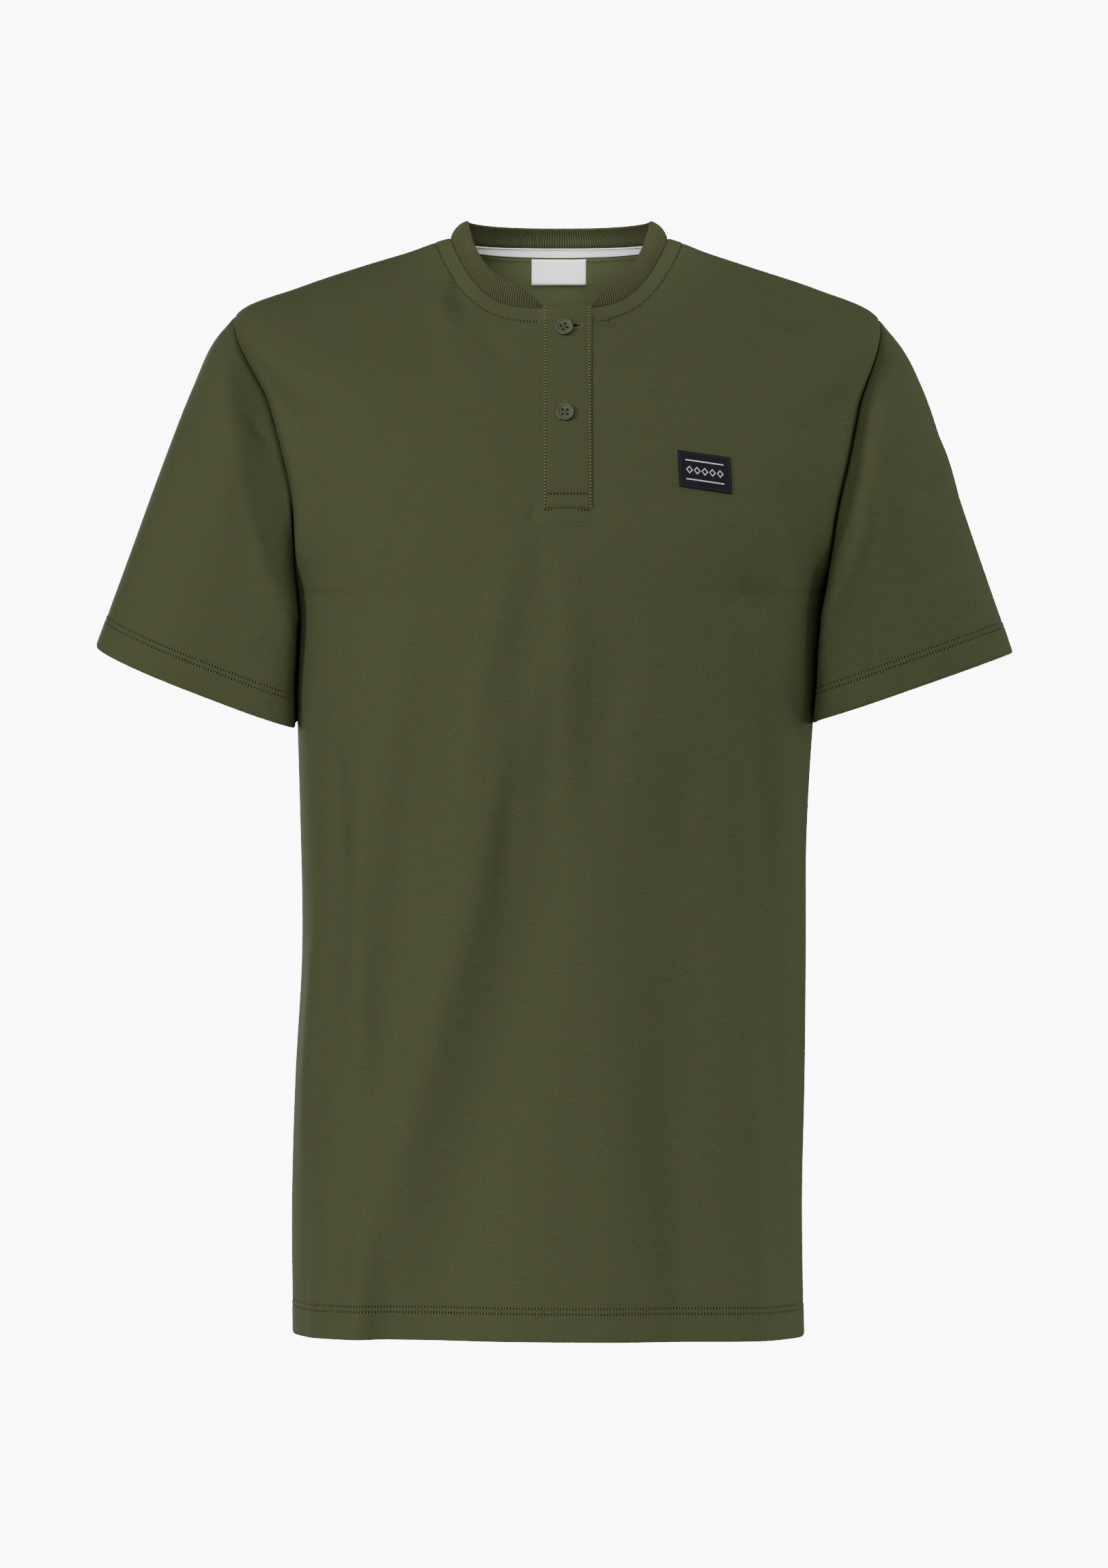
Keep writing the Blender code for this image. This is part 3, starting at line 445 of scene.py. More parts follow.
def placed(name, data, place=(0.0, 0.0, 0.0)):
    made = bpy.data.objects.new(name, data)
    bpy.context.scene.collection.objects.link(made)
    made.location = place
    return made


def piece(name, mesh, finish, thickness=0.0, node=None, place=(0.0, 0.0, 0.0), turn=None):
    """A piece of the shirt. It rides on the root, and replaces the CAD's node where one is named."""
    mesh.name = name
    mesh.materials.append(finish)
    made = placed(name, mesh, place)
    if turn is not None:
        made.rotation_mode = "QUATERNION"
        made.rotation_quaternion = turn
    if thickness:
        wall = made.modifiers.new("wall", "SOLIDIFY")
        wall.thickness = thickness
        wall.offset = -1.0
    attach(made, "root")
    if node:
        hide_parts(node)
    return made


# Finish of the cloth: staggered pique loops with painted shade in their hollows, dyed unevenly and with a few
# lighter and browner fibres.
def fill(tree, node, inputs):
    """Sets a node's inputs: a socket is linked, and any other value is set on the input itself."""
    for name, value in inputs.items():
        if isinstance(value, bpy.types.NodeSocket):
            tree.links.new(value, node.inputs[name])
        else:
            node.inputs[name].default_value = value
    return node


def add_node(tree, kind, inputs=None, **settings):
    made = tree.nodes.new(kind)
    for name, value in settings.items():
        setattr(made, name, value)
    return fill(tree, made, inputs or {})


def maths(tree, operation, *values, clamp=False):
    inputs = dict(enumerate(values))
    return add_node(tree, "ShaderNodeMath", inputs, operation=operation, use_clamp=clamp).outputs[0]


def mixed(tree, share, first, second, blend="MIX"):
    inputs = {0: share, 6: first, 7: second}
    return add_node(tree, "ShaderNodeMix", inputs, data_type="RGBA", blend_type=blend).outputs[2]


def between(tree, value, low, high, to_low=0.0, to_high=1.0):
    inputs = {"Value": value, "From Min": low, "From Max": high, "To Min": to_low, "To Max": to_high}
    return add_node(tree, "ShaderNodeMapRange", inputs).outputs["Result"]


def stretched(tree, vector, scale):
    return add_node(tree, "ShaderNodeMapping", {"Vector": vector, "Scale": scale}).outputs["Vector"]


def noise(tree, vector, scale, detail=2.0, rough=0.5):
    inputs = {"Vector": vector, "Scale": scale, "Detail": detail, "Roughness": rough}
    return add_node(tree, "ShaderNodeTexNoise", inputs).outputs["Fac"]


def split(tree, vector):
    return add_node(tree, "ShaderNodeSeparateXYZ", {"Vector": vector}).outputs


def cloth_uv(tree):
    return add_node(tree, "ShaderNodeUVMap", uv_map="cloth").outputs["UV"]


def bumped(tree, height, strength, distance):
    inputs = {"Strength": strength, "Distance": distance, "Height": height}
    return add_node(tree, "ShaderNodeBump", inputs).outputs["Normal"]


def new_group(name, inputs, outputs):
    """An empty node group, the outputs of its input node and the inputs of its output node."""
    group = bpy.data.node_groups.new(name, "ShaderNodeTree")
    for label, kind, value in inputs:
        socket = group.interface.new_socket(label, in_out="INPUT", socket_type=kind)
        if value is not None:
            socket.default_value = value
    for label, kind in outputs:
        group.interface.new_socket(label, in_out="OUTPUT", socket_type=kind)
    return group, group.nodes.new("NodeGroupInput").outputs, group.nodes.new("NodeGroupOutput").inputs


def new_material(name):
    made = bpy.data.materials.new(name)
    made.use_nodes = True
    return made, made.node_tree, made.node_tree.nodes["Principled BSDF"]


# Loops of the knit: they lie in fine lines that slant down to the right, crossed by smaller steps.
knit_loops, given, put = new_group(
    "knit loops",
    [("Vector", "NodeSocketVector", None), ("Line Across", "NodeSocketFloat", 0.00136),
     ("Line Up", "NodeSocketFloat", 0.00106), ("Cross Share", "NodeSocketFloat", 0.45),
     ("Unevenness", "NodeSocketFloat", 0.5)],
    [("Loop", "NodeSocketFloat")])
place = split(knit_loops, given["Vector"])
wander = maths(knit_loops, "MULTIPLY", noise(knit_loops, given["Vector"], 260.0), given["Unevenness"])
turns_across = maths(knit_loops, "DIVIDE", place["X"], given["Line Across"])
turns_up = maths(knit_loops, "DIVIDE", place["Y"], given["Line Up"])
down_right = maths(knit_loops, "ADD", maths(knit_loops, "ADD", turns_across, turns_up), wander)
down_left = maths(knit_loops, "SUBTRACT", maths(knit_loops, "MULTIPLY", turns_across, 1.7),
                  maths(knit_loops, "MULTIPLY", turns_up, 1.3))
lines = maths(knit_loops, "COSINE", maths(knit_loops, "MULTIPLY", down_right, 2 * math.pi))
steps = maths(knit_loops, "COSINE", maths(knit_loops, "MULTIPLY", down_left, 2 * math.pi))
both = maths(knit_loops, "ADD", lines, maths(knit_loops, "MULTIPLY", steps, given["Cross Share"]))
knit_loops.links.new(between(knit_loops, both, -1.4, 1.4), put["Loop"])

# Uneven dye: soft drifts of two shades, fine streaks along the rows, and rare brown or pale fibres.
yarn_dye, given, put = new_group(
    "yarn dye",
    [("Vector", "NodeSocketVector", None), ("Shade", "NodeSocketColor", None),
     ("Warm Shade", "NodeSocketColor", None), ("Fleck", "NodeSocketColor", None),
     ("Drift", "NodeSocketFloat", 0.5), ("Fleck Share", "NodeSocketFloat", 0.5)],
    [("Color", "NodeSocketColor")])
slow = noise(yarn_dye, stretched(yarn_dye, given["Vector"], (1.0, 2.2, 1.0)), 55.0, 4.0, 0.6)
drift = maths(yarn_dye, "MULTIPLY", between(yarn_dye, slow, 0.35, 0.65), given["Drift"])
shades = mixed(yarn_dye, drift, given["Shade"], given["Warm Shade"])
streak = noise(yarn_dye, stretched(yarn_dye, given["Vector"], (0.06, 1.0, 1.0)), 900.0, 1.0)
streaked = mixed(yarn_dye, between(yarn_dye, streak, 0.3, 0.7, 0.0, 0.22), shades,
                 mixed(yarn_dye, 1.0, shades, (0.74, 0.74, 0.74, 1.0), "MULTIPLY"))
grain = noise(yarn_dye, given["Vector"], 900.0, 2.0)
grainy = mixed(yarn_dye, between(yarn_dye, grain, 0.3, 0.7, 0.0, 0.8), streaked,
               mixed(yarn_dye, 1.0, streaked, (1.3, 1.3, 1.3, 1.0), "MULTIPLY"))
speck = noise(yarn_dye, stretched(yarn_dye, given["Vector"], (0.7, 1.3, 1.0)), 620.0, 0.0)
rare = maths(yarn_dye, "MULTIPLY", between(yarn_dye, speck, 0.70, 0.78), given["Fleck Share"])
yarn_dye.links.new(mixed(yarn_dye, rare, grainy, given["Fleck"]), put["Color"])

OLIVE = (0.0615, 0.0725, 0.0328, 1.0)
BROWN_OLIVE = (0.0690, 0.0700, 0.0332, 1.0)
GOLD_FIBRE = (0.120, 0.095, 0.040, 1.0)
pique, tree, shader = new_material("olive pique")
surface = cloth_uv(tree)
loop = add_node(tree, "ShaderNodeGroup", {"Vector": surface, "Line Across": 1.36 * MM, "Line Up": 1.06 * MM},
                node_tree=knit_loops).outputs["Loop"]
dyed = add_node(tree, "ShaderNodeGroup",
                {"Vector": surface, "Shade": OLIVE, "Warm Shade": BROWN_OLIVE, "Fleck": GOLD_FIBRE},
                node_tree=yarn_dye).outputs["Color"]
# Painted shade: the colour is darker in the hollows between the knit's loops.
loop_hollow_shade = mixed(tree, 1.0, dyed, (0.62, 0.62, 0.64, 1.0), "MULTIPLY")
fill(tree, shader, {
    "Base Color": mixed(tree, loop, loop_hollow_shade, dyed), "Roughness": between(tree, loop, 0.0, 1.0, 0.95, 0.80),
    "Normal": bumped(tree, loop, 0.6, 0.16 * MM), "Specular IOR Level": 0.06,
    "Sheen Weight": 0.04, "Sheen Tint": (0.55, 0.62, 0.32, 1.0), "Sheen Roughness": 0.5})

PLACKET_MIDDLE, PLACKET_WIDTH, PLACKET_LAP = 5.4 * MM, 32.3 * MM, 2.0 * MM
band_left, band_right = PLACKET_MIDDLE - PLACKET_WIDTH / 2, PLACKET_MIDDLE + PLACKET_WIDTH / 2
slot_left, slot_right = band_left + PLACKET_LAP, band_right - PLACKET_LAP
FRONT_CELLS = (78, 1, 9, 1, 78)
FRONT_MIDDLE = FRONT_CELLS[0] + 5
SLOT_FOOT = -174.0 * MM
front_plain = panel_grid("front", (band_left, slot_left, slot_right, band_right), FRONT_CELLS)
front_grid, front_uv = finished_panel(front_plain, FRONT_MIDDLE, FRONT_CREASES, 3)


def in_slot(row, column):
    inside = (column > FRONT_CELLS[0]) & (column <= FRONT_CELLS[0] + FRONT_CELLS[2])
    return inside & (front_grid[row, FRONT_MIDDLE, 2] > SLOT_FOOT)


LAYER_GAP = 0.1 * MM        # between the cloth's inner side and a layer behind it
HEM_CLOTH = 0.9 * MM
HEM_INSIDE_ROW = 23.3       # where the layer inside ends, in HEM_ROWS


def turn_up(name, grid, normals, uv, closed=False):
    """The inside layer of a hem: the cloth folded up behind the panel."""
    inner = grid - normals * (CLOTH + LAYER_GAP)
    rows = slice(1, HEM_ROWS.index(HEM_INSIDE_ROW) + 1)
    return piece(name, grid_mesh(inner[rows], uv[rows], closed), pique, HEM_CLOTH)


def body_panel(node, grid, uv, left_out=None):
    """A panel of the body with its hem."""
    mesh = grid_mesh(grid, uv, left_out=left_out)
    panel = piece(f"{node}_cloth", mesh, pique, CLOTH, node)
    hem = turn_up(f"{node}_hem_inside", grid, outward_normals(grid), uv)


body_panel("front", front_grid, front_uv, in_slot)


# ---------------------------------------------------------------- back panel
# The back is cut in one from the shoulder seams to the hem, from the same pique. It is sewn to the front at
# the shoulders and sides, and hangs in soft folds from the shoulder blades.
BACK_CREASES = [Crease(*row) for row in (
    (-70, -64, -132, -120, 6, 12, -0.9), (70, -66, 134, -122, -6, 12, -0.9),
    (-40, -120, -120, -170, 8, 16, 0.7), (44, -124, 118, -176, -8, 16, 0.7),
    (-150, -190, -196, -262, 5, 12, -1.3), (154, -190, 200, -266, -5, 12, -1.3),
    (-124, -210, -150, -330, 6, 14, 1.0), (126, -214, 148, -340, -6, 14, 1.0),
    (-84, -300, -96, -520, -6, 14, -0.9), (30, -330, 40, -560, 6, 16, 0.9),
    (86, -360, 96, -600, 5, 15, -0.9), (-20, -420, -28, -660, 5, 15, -0.8),
    (-190, -430, -196, -650, 6, 16, -1.0), (192, -400, 198, -640, -6, 16, 1.0),
    (-30, -40, 40, -46, 5, 9, -0.4),
)]
LABEL_SIDES = (18.2 * MM, -18.6 * MM)
BACK_CELLS = (78, 12, 78)
BACK_MIDDLE = BACK_CELLS[0] + 6
back_plain = panel_grid("back", LABEL_SIDES, BACK_CELLS)
back_grid, back_uv = finished_panel(back_plain, BACK_MIDDLE, BACK_CREASES, 5)
body_panel("back", back_grid, back_uv)

# The side and shoulder seams are overlocked, and their allowance lies flat behind the seam.
ALLOWANCE, ALLOWANCE_CLOTH = 4.0 * MM, 0.6 * MM
UNDERARM_Z, SHOULDER_Z = -242.0 * MM, -47.0 * MM
lined = front_grid - outward_normals(front_grid) * (CLOTH + 0.12 * MM)
for side, edge, beside, inside in (("left", 0, 1, 3), ("right", -1, -2, -4)):
    beyond = lined[:, edge] + unit(lined[:, edge] - lined[:, beside]) * ALLOWANCE
    strip = np.stack([lined[:, inside], lined[:, edge], beyond], axis=1)
    edge_uv = front_uv[:, edge]
    strip_uv = np.stack([front_uv[:, inside], edge_uv, edge_uv + [ALLOWANCE, 0.0]], axis=1)
    if side == "left":
        strip, strip_uv = strip[:, ::-1], strip_uv[:, ::-1]
    heights = lined[:, edge, 2]
    for seam, kept in (("side", heights < UNDERARM_Z), ("shoulder", heights > SHOULDER_Z)):
        piece(f"{seam}_{side}_allowance", grid_mesh(strip[kept], strip_uv[kept]), pique,
              ALLOWANCE_CLOTH)


# ---------------------------------------------------------------- sleeves
# Each short sleeve is a tube of the same pique, set into its armhole and hanging beside the body. Its hem is
# turned up 22 mm and sewn with two needles like the body's.

# Cross-sections of a sleeve below its armhole, in millimetres: outer_x and outer_z are its outer fold,
# inner_z its fold beside the body, front and back its depth each way of mid_y; at is the share of the way
# to the hem.
Station = namedtuple("Station", "name outer_x outer_z inner_z mid_y front back lean at")
LEFT_SLEEVE = [
    Station("cap",   -230.2,  -66.6, -250.0, 4, 59, 63, 0, 0.10),
    Station("upper", -244.2,  -97.0, -260.0, 3, 61, 61, 1, 0.24),
    Station("bicep", -264.9, -150.0, -280.0, 2, 57, 57, 2, 0.48),
    Station("lower", -286.6, -209.6, -301.0, 1, 53, 52, 4, 0.74),
    Station("hem",   -308.6, -269.6, -321.0, 0, 49, 49, 6.4, 1.00),
]
RIGHT_SLEEVE = [
    Station("cap",   228.4,  -70.6, -250.0, 4, 59, 63, 0, 0.10),
    Station("upper", 242.2,  -97.6, -260.0, 3, 61, 61, 0, 0.24),
    Station("bicep", 259.1, -147.6, -280.0, 2, 57, 57, 0, 0.48),
    Station("lower", 279.3, -207.6, -301.0, 1, 53, 52, 1, 0.74),
    Station("hem",   302.4, -274.5, -321.0, 0, 49, 49, 1, 1.00),
]
SLEEVE_CLEAR = -0.8 * MM    # the sleeve's cloth rests against the body's
SLEEVE_SQUARE = 2.15        # how square a cross-section is: 2 is an ellipse
INNER_SQUARE = 7.0          # beside the body, which presses the sleeve flat
PRESSED = 6.0 * MM          # how far the sleeve's inner corners follow the body's curve
SLEEVE_ROWS = 75
SLEEVE_TOP_ROWS = [4.5, 2.6, 1.3, 0.5, 0]   # millimetres below the armhole seam

# Creases by their way round the sleeve from its outer fold, + towards the front, and height above its hem.
LEFT_SLEEVE_CREASES = [Crease(*row) for row in (
    (6, 73, 54, 77, 2, 3.2, -1.0), (8, 66, 50, 69, 2, 5, 0.7),
    (4, 98, 88, 114, 3, 5, -0.8), (10, 86, 62, 93, 3, 7, 0.8),
    (118, 40, 144, 64, 3, 5, 0.8), (20, 195, 70, 120, 6, 12, -2.0),
    (40, 205, 120, 165, 8, 9, 1.0), (84, 190, 118, 176, 3, 4, -1.2),
    (16, 60, 74, 30, 4, 9, 0.8), (98, 150, 140, 80, 6, 10, -1.2),
    (118, 190, 150, 150, 4, 8, 1.0), (-24, 190, -78, 130, -6, 11, -1.2),
    (-40, 110, -100, 60, -5, 11, 1.1), (-110, 170, -150, 90, -6, 10, -1.1),
)]
RIGHT_SLEEVE_CREASES = [Crease(*row) for row in (
    (30, 156, 70, 112, 5, 13, -3.0), (8, 160, 36, 100, 5, 12, 2.0),
    (14, 118, 48, 95, 2, 4, -0.9), (12, 108, 50, 84, 2, 6, 0.8),
    (46, 200, 126, 160, 8, 9, 1.0), (92, 200, 112, 182, 2, 4, -1.3),
    (30, 90, 92, 60, 5, 9, -0.9), (20, 66, 70, 36, 4, 9, 0.8),
    (102, 146, 138, 70, 6, 10, -1.2), (120, 186, 150, 146, 4, 8, 1.0),
    (-28, 186, -84, 126, -6, 11, -1.2), (-44, 104, -104, 64, -5, 11, 1.1),
    (-112, 166, -148, 86, -6, 10, -1.1),
)]


def panel_edge(grid, side):
    """Armhole edge of a panel on one side: its points, outward normals and the way out of the panel."""
    column, inner = (0, 1) if side == "first" else (-1, -2)
    rows = slice(climbs_row("underarm"), climbs_row("shoulder") + 1)
    points = grid[rows, column]
    normals = outward_normals(grid)[rows, column]
    away = unit(np.cross(unit(np.gradient(points, axis=0)), normals))
    inward = grid[rows, inner] - points
    away *= -np.sign((away * inward).sum(axis=1, keepdims=True))
    return points, normals, away


def armhole_ring(side):
    """The armhole as one ring from the shoulder down the front, under the arm and up the back."""
    front_side, back_side = ("first", "last") if side == "left" else ("last", "first")
    at_front, at_back = panel_edge(front_plain, front_side), panel_edge(back_plain, back_side)
    ring = []
    for of_front, of_back in zip(at_front, at_back):
        shoulder = (of_front[-1] + of_back[-1]) / 2
        underarm = (of_front[0] + of_back[0]) / 2
        ring.append(np.concatenate([[shoulder], of_front[-2:0:-1], [underarm], of_back[1:-1]]))
    points, normals, away = ring
    half = len(at_front[0]) - 1
    away[0] = points[0] - front_plain[climbs_row("shoulder") + 1, 0 if side == "left" else -1]
    away[half] = (0.0, 0.0, 1.0)
    return points, unit(normals), unit(away), half


def body_side(z, side):
    """X of the body's side at this height."""
    angle = np.array([-math.pi / 2 if side == "left" else math.pi / 2])
    climbs = np.linspace(CLIMB_OF["high waist"], CLIMB_OF["underarm"], 25)
    points = np.array([cloth_points(angle, climb)[0] for climb in climbs])
    return float(np.interp(z, points[:, 2], points[:, 0]))


def station_ring(station, angles, side):
    """One cross-section of a sleeve. The angle is 0 at the outer end and grows towards the front."""
    outer = np.array([station.outer_x, station.mid_y, station.outer_z]) * MM
    inner = np.array([0.0, station.mid_y * MM, station.inner_z * MM])
    inner[0] = body_side(inner[2], side) + math.copysign(SLEEVE_CLEAR, station.outer_x)
    middle, half_width = (outer + inner) / 2, (outer - inner) / 2
    width_way = unit(half_width)
    down_way = np.array([-width_way[2], 0.0, width_way[0]])
    down_way *= -np.sign(down_way[2])
    dense = np.linspace(0, 2 * math.pi, 1441)
    sine, cosine = np.sin(dense), np.cos(dense)
    square = np.where(cosine > 0, SLEEVE_SQUARE, INNER_SQUARE)
    across = np.sign(cosine) * np.abs(cosine) ** (2 / square)
    deep = np.sign(sine) * np.abs(sine) ** (2 / square)
    points = middle + np.outer(across, half_width)
    corners = np.abs(deep) ** 2.6 * np.maximum(-across, 0) ** 4
    points[:, 0] -= math.copysign(PRESSED, station.outer_x) * corners
    points[:, 1] -= deep * np.where(sine > 0, station.front, station.back) * MM
    points += np.outer(deep, down_way) * station.lean * MM
    way = travelled(points)
    half = way[len(way) // 2]
    return along(points, np.where(angles <= math.pi, half * angles / math.pi,
                                  half + (way[-1] - half) * (angles / math.pi - 1)))


def sleeve_grid(side, stations):
    """Outer points of a sleeve, from its hem up to the armhole seam."""
    points, normals, away, half = armhole_ring(side)
    count = len(points)
    way = travelled(np.vstack([points, points[:1]]))
    angles = np.where(np.arange(count) <= half,
                      math.pi * way[:count] / way[half],
                      math.pi * (1 + (way[:count] - way[half]) / (way[count] - way[half])))
    rings = [station_ring(station, angles, side) for station in stations]
    leaving = unit(rings[0] - points)
    round_way = unit(np.roll(points, -1, axis=0) - np.roll(points, 1, axis=0))
    facing = unit(np.cross(leaving, round_way))
    facing *= np.sign((facing * (points - points.mean(axis=0))).sum(axis=1, keepdims=True))
    bend = np.maximum(0.0, (facing * away).sum(axis=1, keepdims=True))
    lap = np.maximum(0.0, -(leaving * away).sum(axis=1, keepdims=True))
    first = points + away * (SEAM + CLOTH * bend) + normals * (SEAM + CLOTH * lap)
    places = [0.0] + [station.at for station in stations]
    return smooth_through(places, np.array([first] + rings), np.linspace(0.0, 1.0, SLEEVE_ROWS))[::-1]


def build_sleeve(side, stations, creases, seed):
    """Outer points of a sleeve with its creases and hem, and its UV in metres."""
    grid, above_hem, below_seam = with_sewn_rows(sleeve_grid(side, stations), SLEEVE_TOP_ROWS)
    closed = np.concatenate([grid, grid[:, :1]], axis=1)
    way = np.array([travelled(row) for row in closed])
    total = way[:, -1:]
    signed = np.where(way > total / 2, way - total, way)
    heights = np.concatenate([above_hem, above_hem[:, :1]], axis=1)
    height = crease_height(creases, signed, heights)[:, :-1] * ease(below_seam / CREASES_START)
    height += hem_height(above_hem, way[:, :-1], seed)
    height += seam_height(below_seam)
    toward_out = outward_normals(closed)[:, :-1]
    middle = grid.mean(axis=1, keepdims=True)
    if (toward_out * (grid - middle)).sum() < 0:
        toward_out = -toward_out
    grid = grid + toward_out * height[..., None]
    uv = np.stack([way + 0.1, heights], axis=2)
    return (grid, uv) if side == "left" else (grid[:, ::-1], uv[:, ::-1])


ARMHOLE_TURNED, ARMHOLE_BEHIND, ARMHOLE_INWARD = 4.5 * MM, 3.0 * MM, 4.5 * MM
sleeves = {}
for side, stations, creases, seed, toward_body in (("left", LEFT_SLEEVE, LEFT_SLEEVE_CREASES, 7, 1),
                                                   ("right", RIGHT_SLEEVE, RIGHT_SLEEVE_CREASES, 11, -1)):
    grid, uv = build_sleeve(side, stations, creases, seed)
    normals = outward_normals(np.concatenate([grid, grid[:, :1]], axis=1))[:, :-1]
    sleeve = piece(f"sleeve_{side}_cloth", grid_mesh(grid, uv, closed=True), pique, CLOTH,
                   f"sleeve_{side}")
    hem = turn_up(f"sleeve_{side}_hem_inside", grid, normals, uv, closed=True)
    # The armhole's overlocked allowance lies inside the body, behind the seam.
    start, seam = (grid[row] - normals[row] * (CLOTH + LAYER_GAP) for row in (-5, -1))
    behind = seam + unit(seam - start) * ARMHOLE_TURNED - normals[-2] * ARMHOLE_BEHIND
    behind[:, 0] += ARMHOLE_INWARD * toward_body
    strip_uv = np.stack([uv[-5], uv[-1], uv[-1] + [0.0, 5 * MM]])
    piece(f"armhole_{side}_allowance", grid_mesh(np.stack([start, seam, behind]), strip_uv, closed=True),
          pique, ALLOWANCE_CLOTH)
    sleeves[side] = grid


# ---------------------------------------------------------------- placket
# Two folded bands of the pique, interlined, close the neck slit. The upper band laps over the under band and
# over the slit's edges; it is edge-stitched down both sides and boxed across the foot.
def panel_at(grid, x, z):
    """Y of a panel's outer side at this X and Z, and how fast it grows with Z."""
    columns = np.argsort(grid[0, :, 0])
    sorted_grid = grid[:, columns]
    crossed = (sorted_grid[:, 0, 0] < x) & (x < sorted_grid[:, -1, 0])
    sorted_grid = sorted_grid[crossed]
    rows = np.arange(len(sorted_grid))
    low = (sorted_grid[:, :, 0] < x).sum(axis=1) - 1
    before, after = sorted_grid[rows, low], sorted_grid[rows, low + 1]
    share = (x - before[:, 0]) / (after[:, 0] - before[:, 0])
    line = before + (after - before) * share[:, None]
    line = line[np.argsort(line[:, 2])]
    slope = (line[-1, 1] - line[-4, 1]) / (line[-1, 2] - line[-4, 2])
    step = 2 * MM
    if z > line[-1, 2]:
        return line[-1, 1] + slope * (z - line[-1, 2]), slope
    if z + step > line[-1, 2]:
        return np.interp(z, line[:, 2], line[:, 1]), slope
    below, here, above = np.interp((z - step, z, z + step), line[:, 2], line[:, 1])
    return here, (above - below) / (2 * step)


def panel_patch(grid, xs, zs):
    """Outer points and unit normals of a panel over a grid of X and Z, rows going up."""
    ys = np.array([[panel_at(grid, x, z)[0] for x, z in zip(row_x, row_z)] for row_x, row_z in zip(xs, zs)])
    points = np.stack([xs, ys, zs], axis=2)
    normals = outward_normals(points)
    return points, normals * -np.sign(normals[..., 1:2] * (1 if points[0, 0, 1] < 0 else -1))


def neck_height_at(grid, x):
    top = grid[-1]
    order = np.argsort(top[:, 0])
    return float(np.interp(x, top[order, 0], top[order, 2]))


BAND_FOOT = -182.0 * MM
BAND_ABOVE_NECK = 2.0 * MM
BAND_CLOTH = 1.3 * MM
BAND_LIFT = 1.4 * MM            # of the band's outer side over the panel's
BAND_PITCH, BAND_ROW_PITCH = 1.3 * MM, 1.9 * MM
BAND_ROLL, BAND_ROLL_WIDTH = 0.75 * MM, 0.8 * MM    # along its folded edges
BAND_FURROW, BAND_SWELL = 0.42 * MM, 0.35 * MM
BAND_FOOT_STITCH = 1.2 * MM     # the lowest row, just below the band's folded end
BOX_HEIGHT = 9.4 * MM
LEFT_INSETS = (1.3 * MM, 1.9 * MM)      # of the edge rows, at the foot and at the neck
RIGHT_INSETS = (0.9 * MM, 2.3 * MM)
UNDER_INSET, UNDER_FOOT, UNDER_ROLL = 0.3 * MM, 0.5 * MM, 0.3 * MM


def band_points(left, right, foot, lift, edge_drop):
    """Outer points of a placket band and its UV: flat in the middle, rolled down at its folded edges."""
    columns = round((right - left) / BAND_PITCH) + 1
    shares = np.sort(np.concatenate([np.linspace(0, 1, columns), [0.012, 0.03, 0.97, 0.988]]))
    x_row = left + (right - left) * shares
    tops = np.array([neck_height_at(front_grid, x) + BAND_ABOVE_NECK for x in x_row])
    rows = round((tops.mean() - foot) / BAND_ROW_PITCH)
    up = np.sort(np.concatenate([np.linspace(0, 1, rows + 1), [0.003, 0.008, 0.992, 0.997]]))
    xs = np.repeat(x_row[None], len(up), axis=0)
    zs = foot + up[:, None] * (tops[None] - foot)
    points, normals = panel_patch(front_plain, xs, zs)
    aside, above = np.minimum(xs - left, right - xs), zs - foot
    rolls = [bell(distance, BAND_ROLL_WIDTH) for distance in (aside, above, tops[None] - zs)]
    height = lift - edge_drop * np.maximum.reduce(rolls)
    return points, normals, height, np.stack([xs + 0.3, zs + 0.8], axis=2), aside, above


points, normals, height, uv, aside, above = band_points(
    band_left, band_right, BAND_FOOT, BAND_LIFT, BAND_ROLL)
share_up = above / above.max()
left_row = band_left + LEFT_INSETS[0] + (LEFT_INSETS[1] - LEFT_INSETS[0]) * share_up
right_row = band_right - RIGHT_INSETS[0] - (RIGHT_INSETS[1] - RIGHT_INSETS[0]) * share_up
band_x = points[..., 0]
in_box = (band_x > left_row) & (band_x < right_row)
furrow = np.maximum.reduce([bell(band_x - left_row, 0.6 * MM), bell(band_x - right_row, 0.6 * MM),
                            in_box * bell(above - BOX_HEIGHT, 0.7 * MM)])
swell = BAND_SWELL * ease((aside - 2.5 * MM) / (5 * MM)) * ease((above - BOX_HEIGHT) / (8 * MM))
upper_band = points + normals * (height - BAND_FURROW * furrow + swell)[..., None]
placket_upper = piece("placket_upper_band", grid_mesh(upper_band, uv), pique, BAND_CLOTH,
                      "placket_upper")

points, normals, height, uv = band_points(
    slot_left + UNDER_INSET, slot_right - UNDER_INSET, SLOT_FOOT + UNDER_FOOT, 0.0, UNDER_ROLL)[:4]
placket_under = piece("placket_under_band", grid_mesh(points + normals * height[..., None], uv), pique,
                      BAND_CLOTH, "placket_under")


# ---------------------------------------------------------------- collar band
# A narrow standing band of 1 by 1 rib knit, doubled, goes round the neck from one edge of the placket to the
# other and tapers into it at both ends. Its ribs stand 1.75 mm apart.
RIB_WIDTH = 16.6 * MM
RIB_END_WIDTH = 2.4 * MM
RIB_TAPER = 26.0 * MM
RIB_END_GAP = 0.6 * MM
RIB_PITCH = 1.75 * MM
RIB_RELIEF = 0.38 * MM
RIB_BULGE = 1.3 * MM        # how far the band's middle stands out at the sides and back
RIB_LEAN, RIB_FRONT_LEAN = 0.86, 0.35
RIB_SHARES = (0.0, 0.07, 0.17, 0.32, 0.5, 0.68, 0.83, 0.93)


def sampled(vectors, way, places):
    """Vectors known along a way, at other places on it."""
    return np.stack([np.interp(places, way, vectors[:, axis]) for axis in range(3)], axis=1)


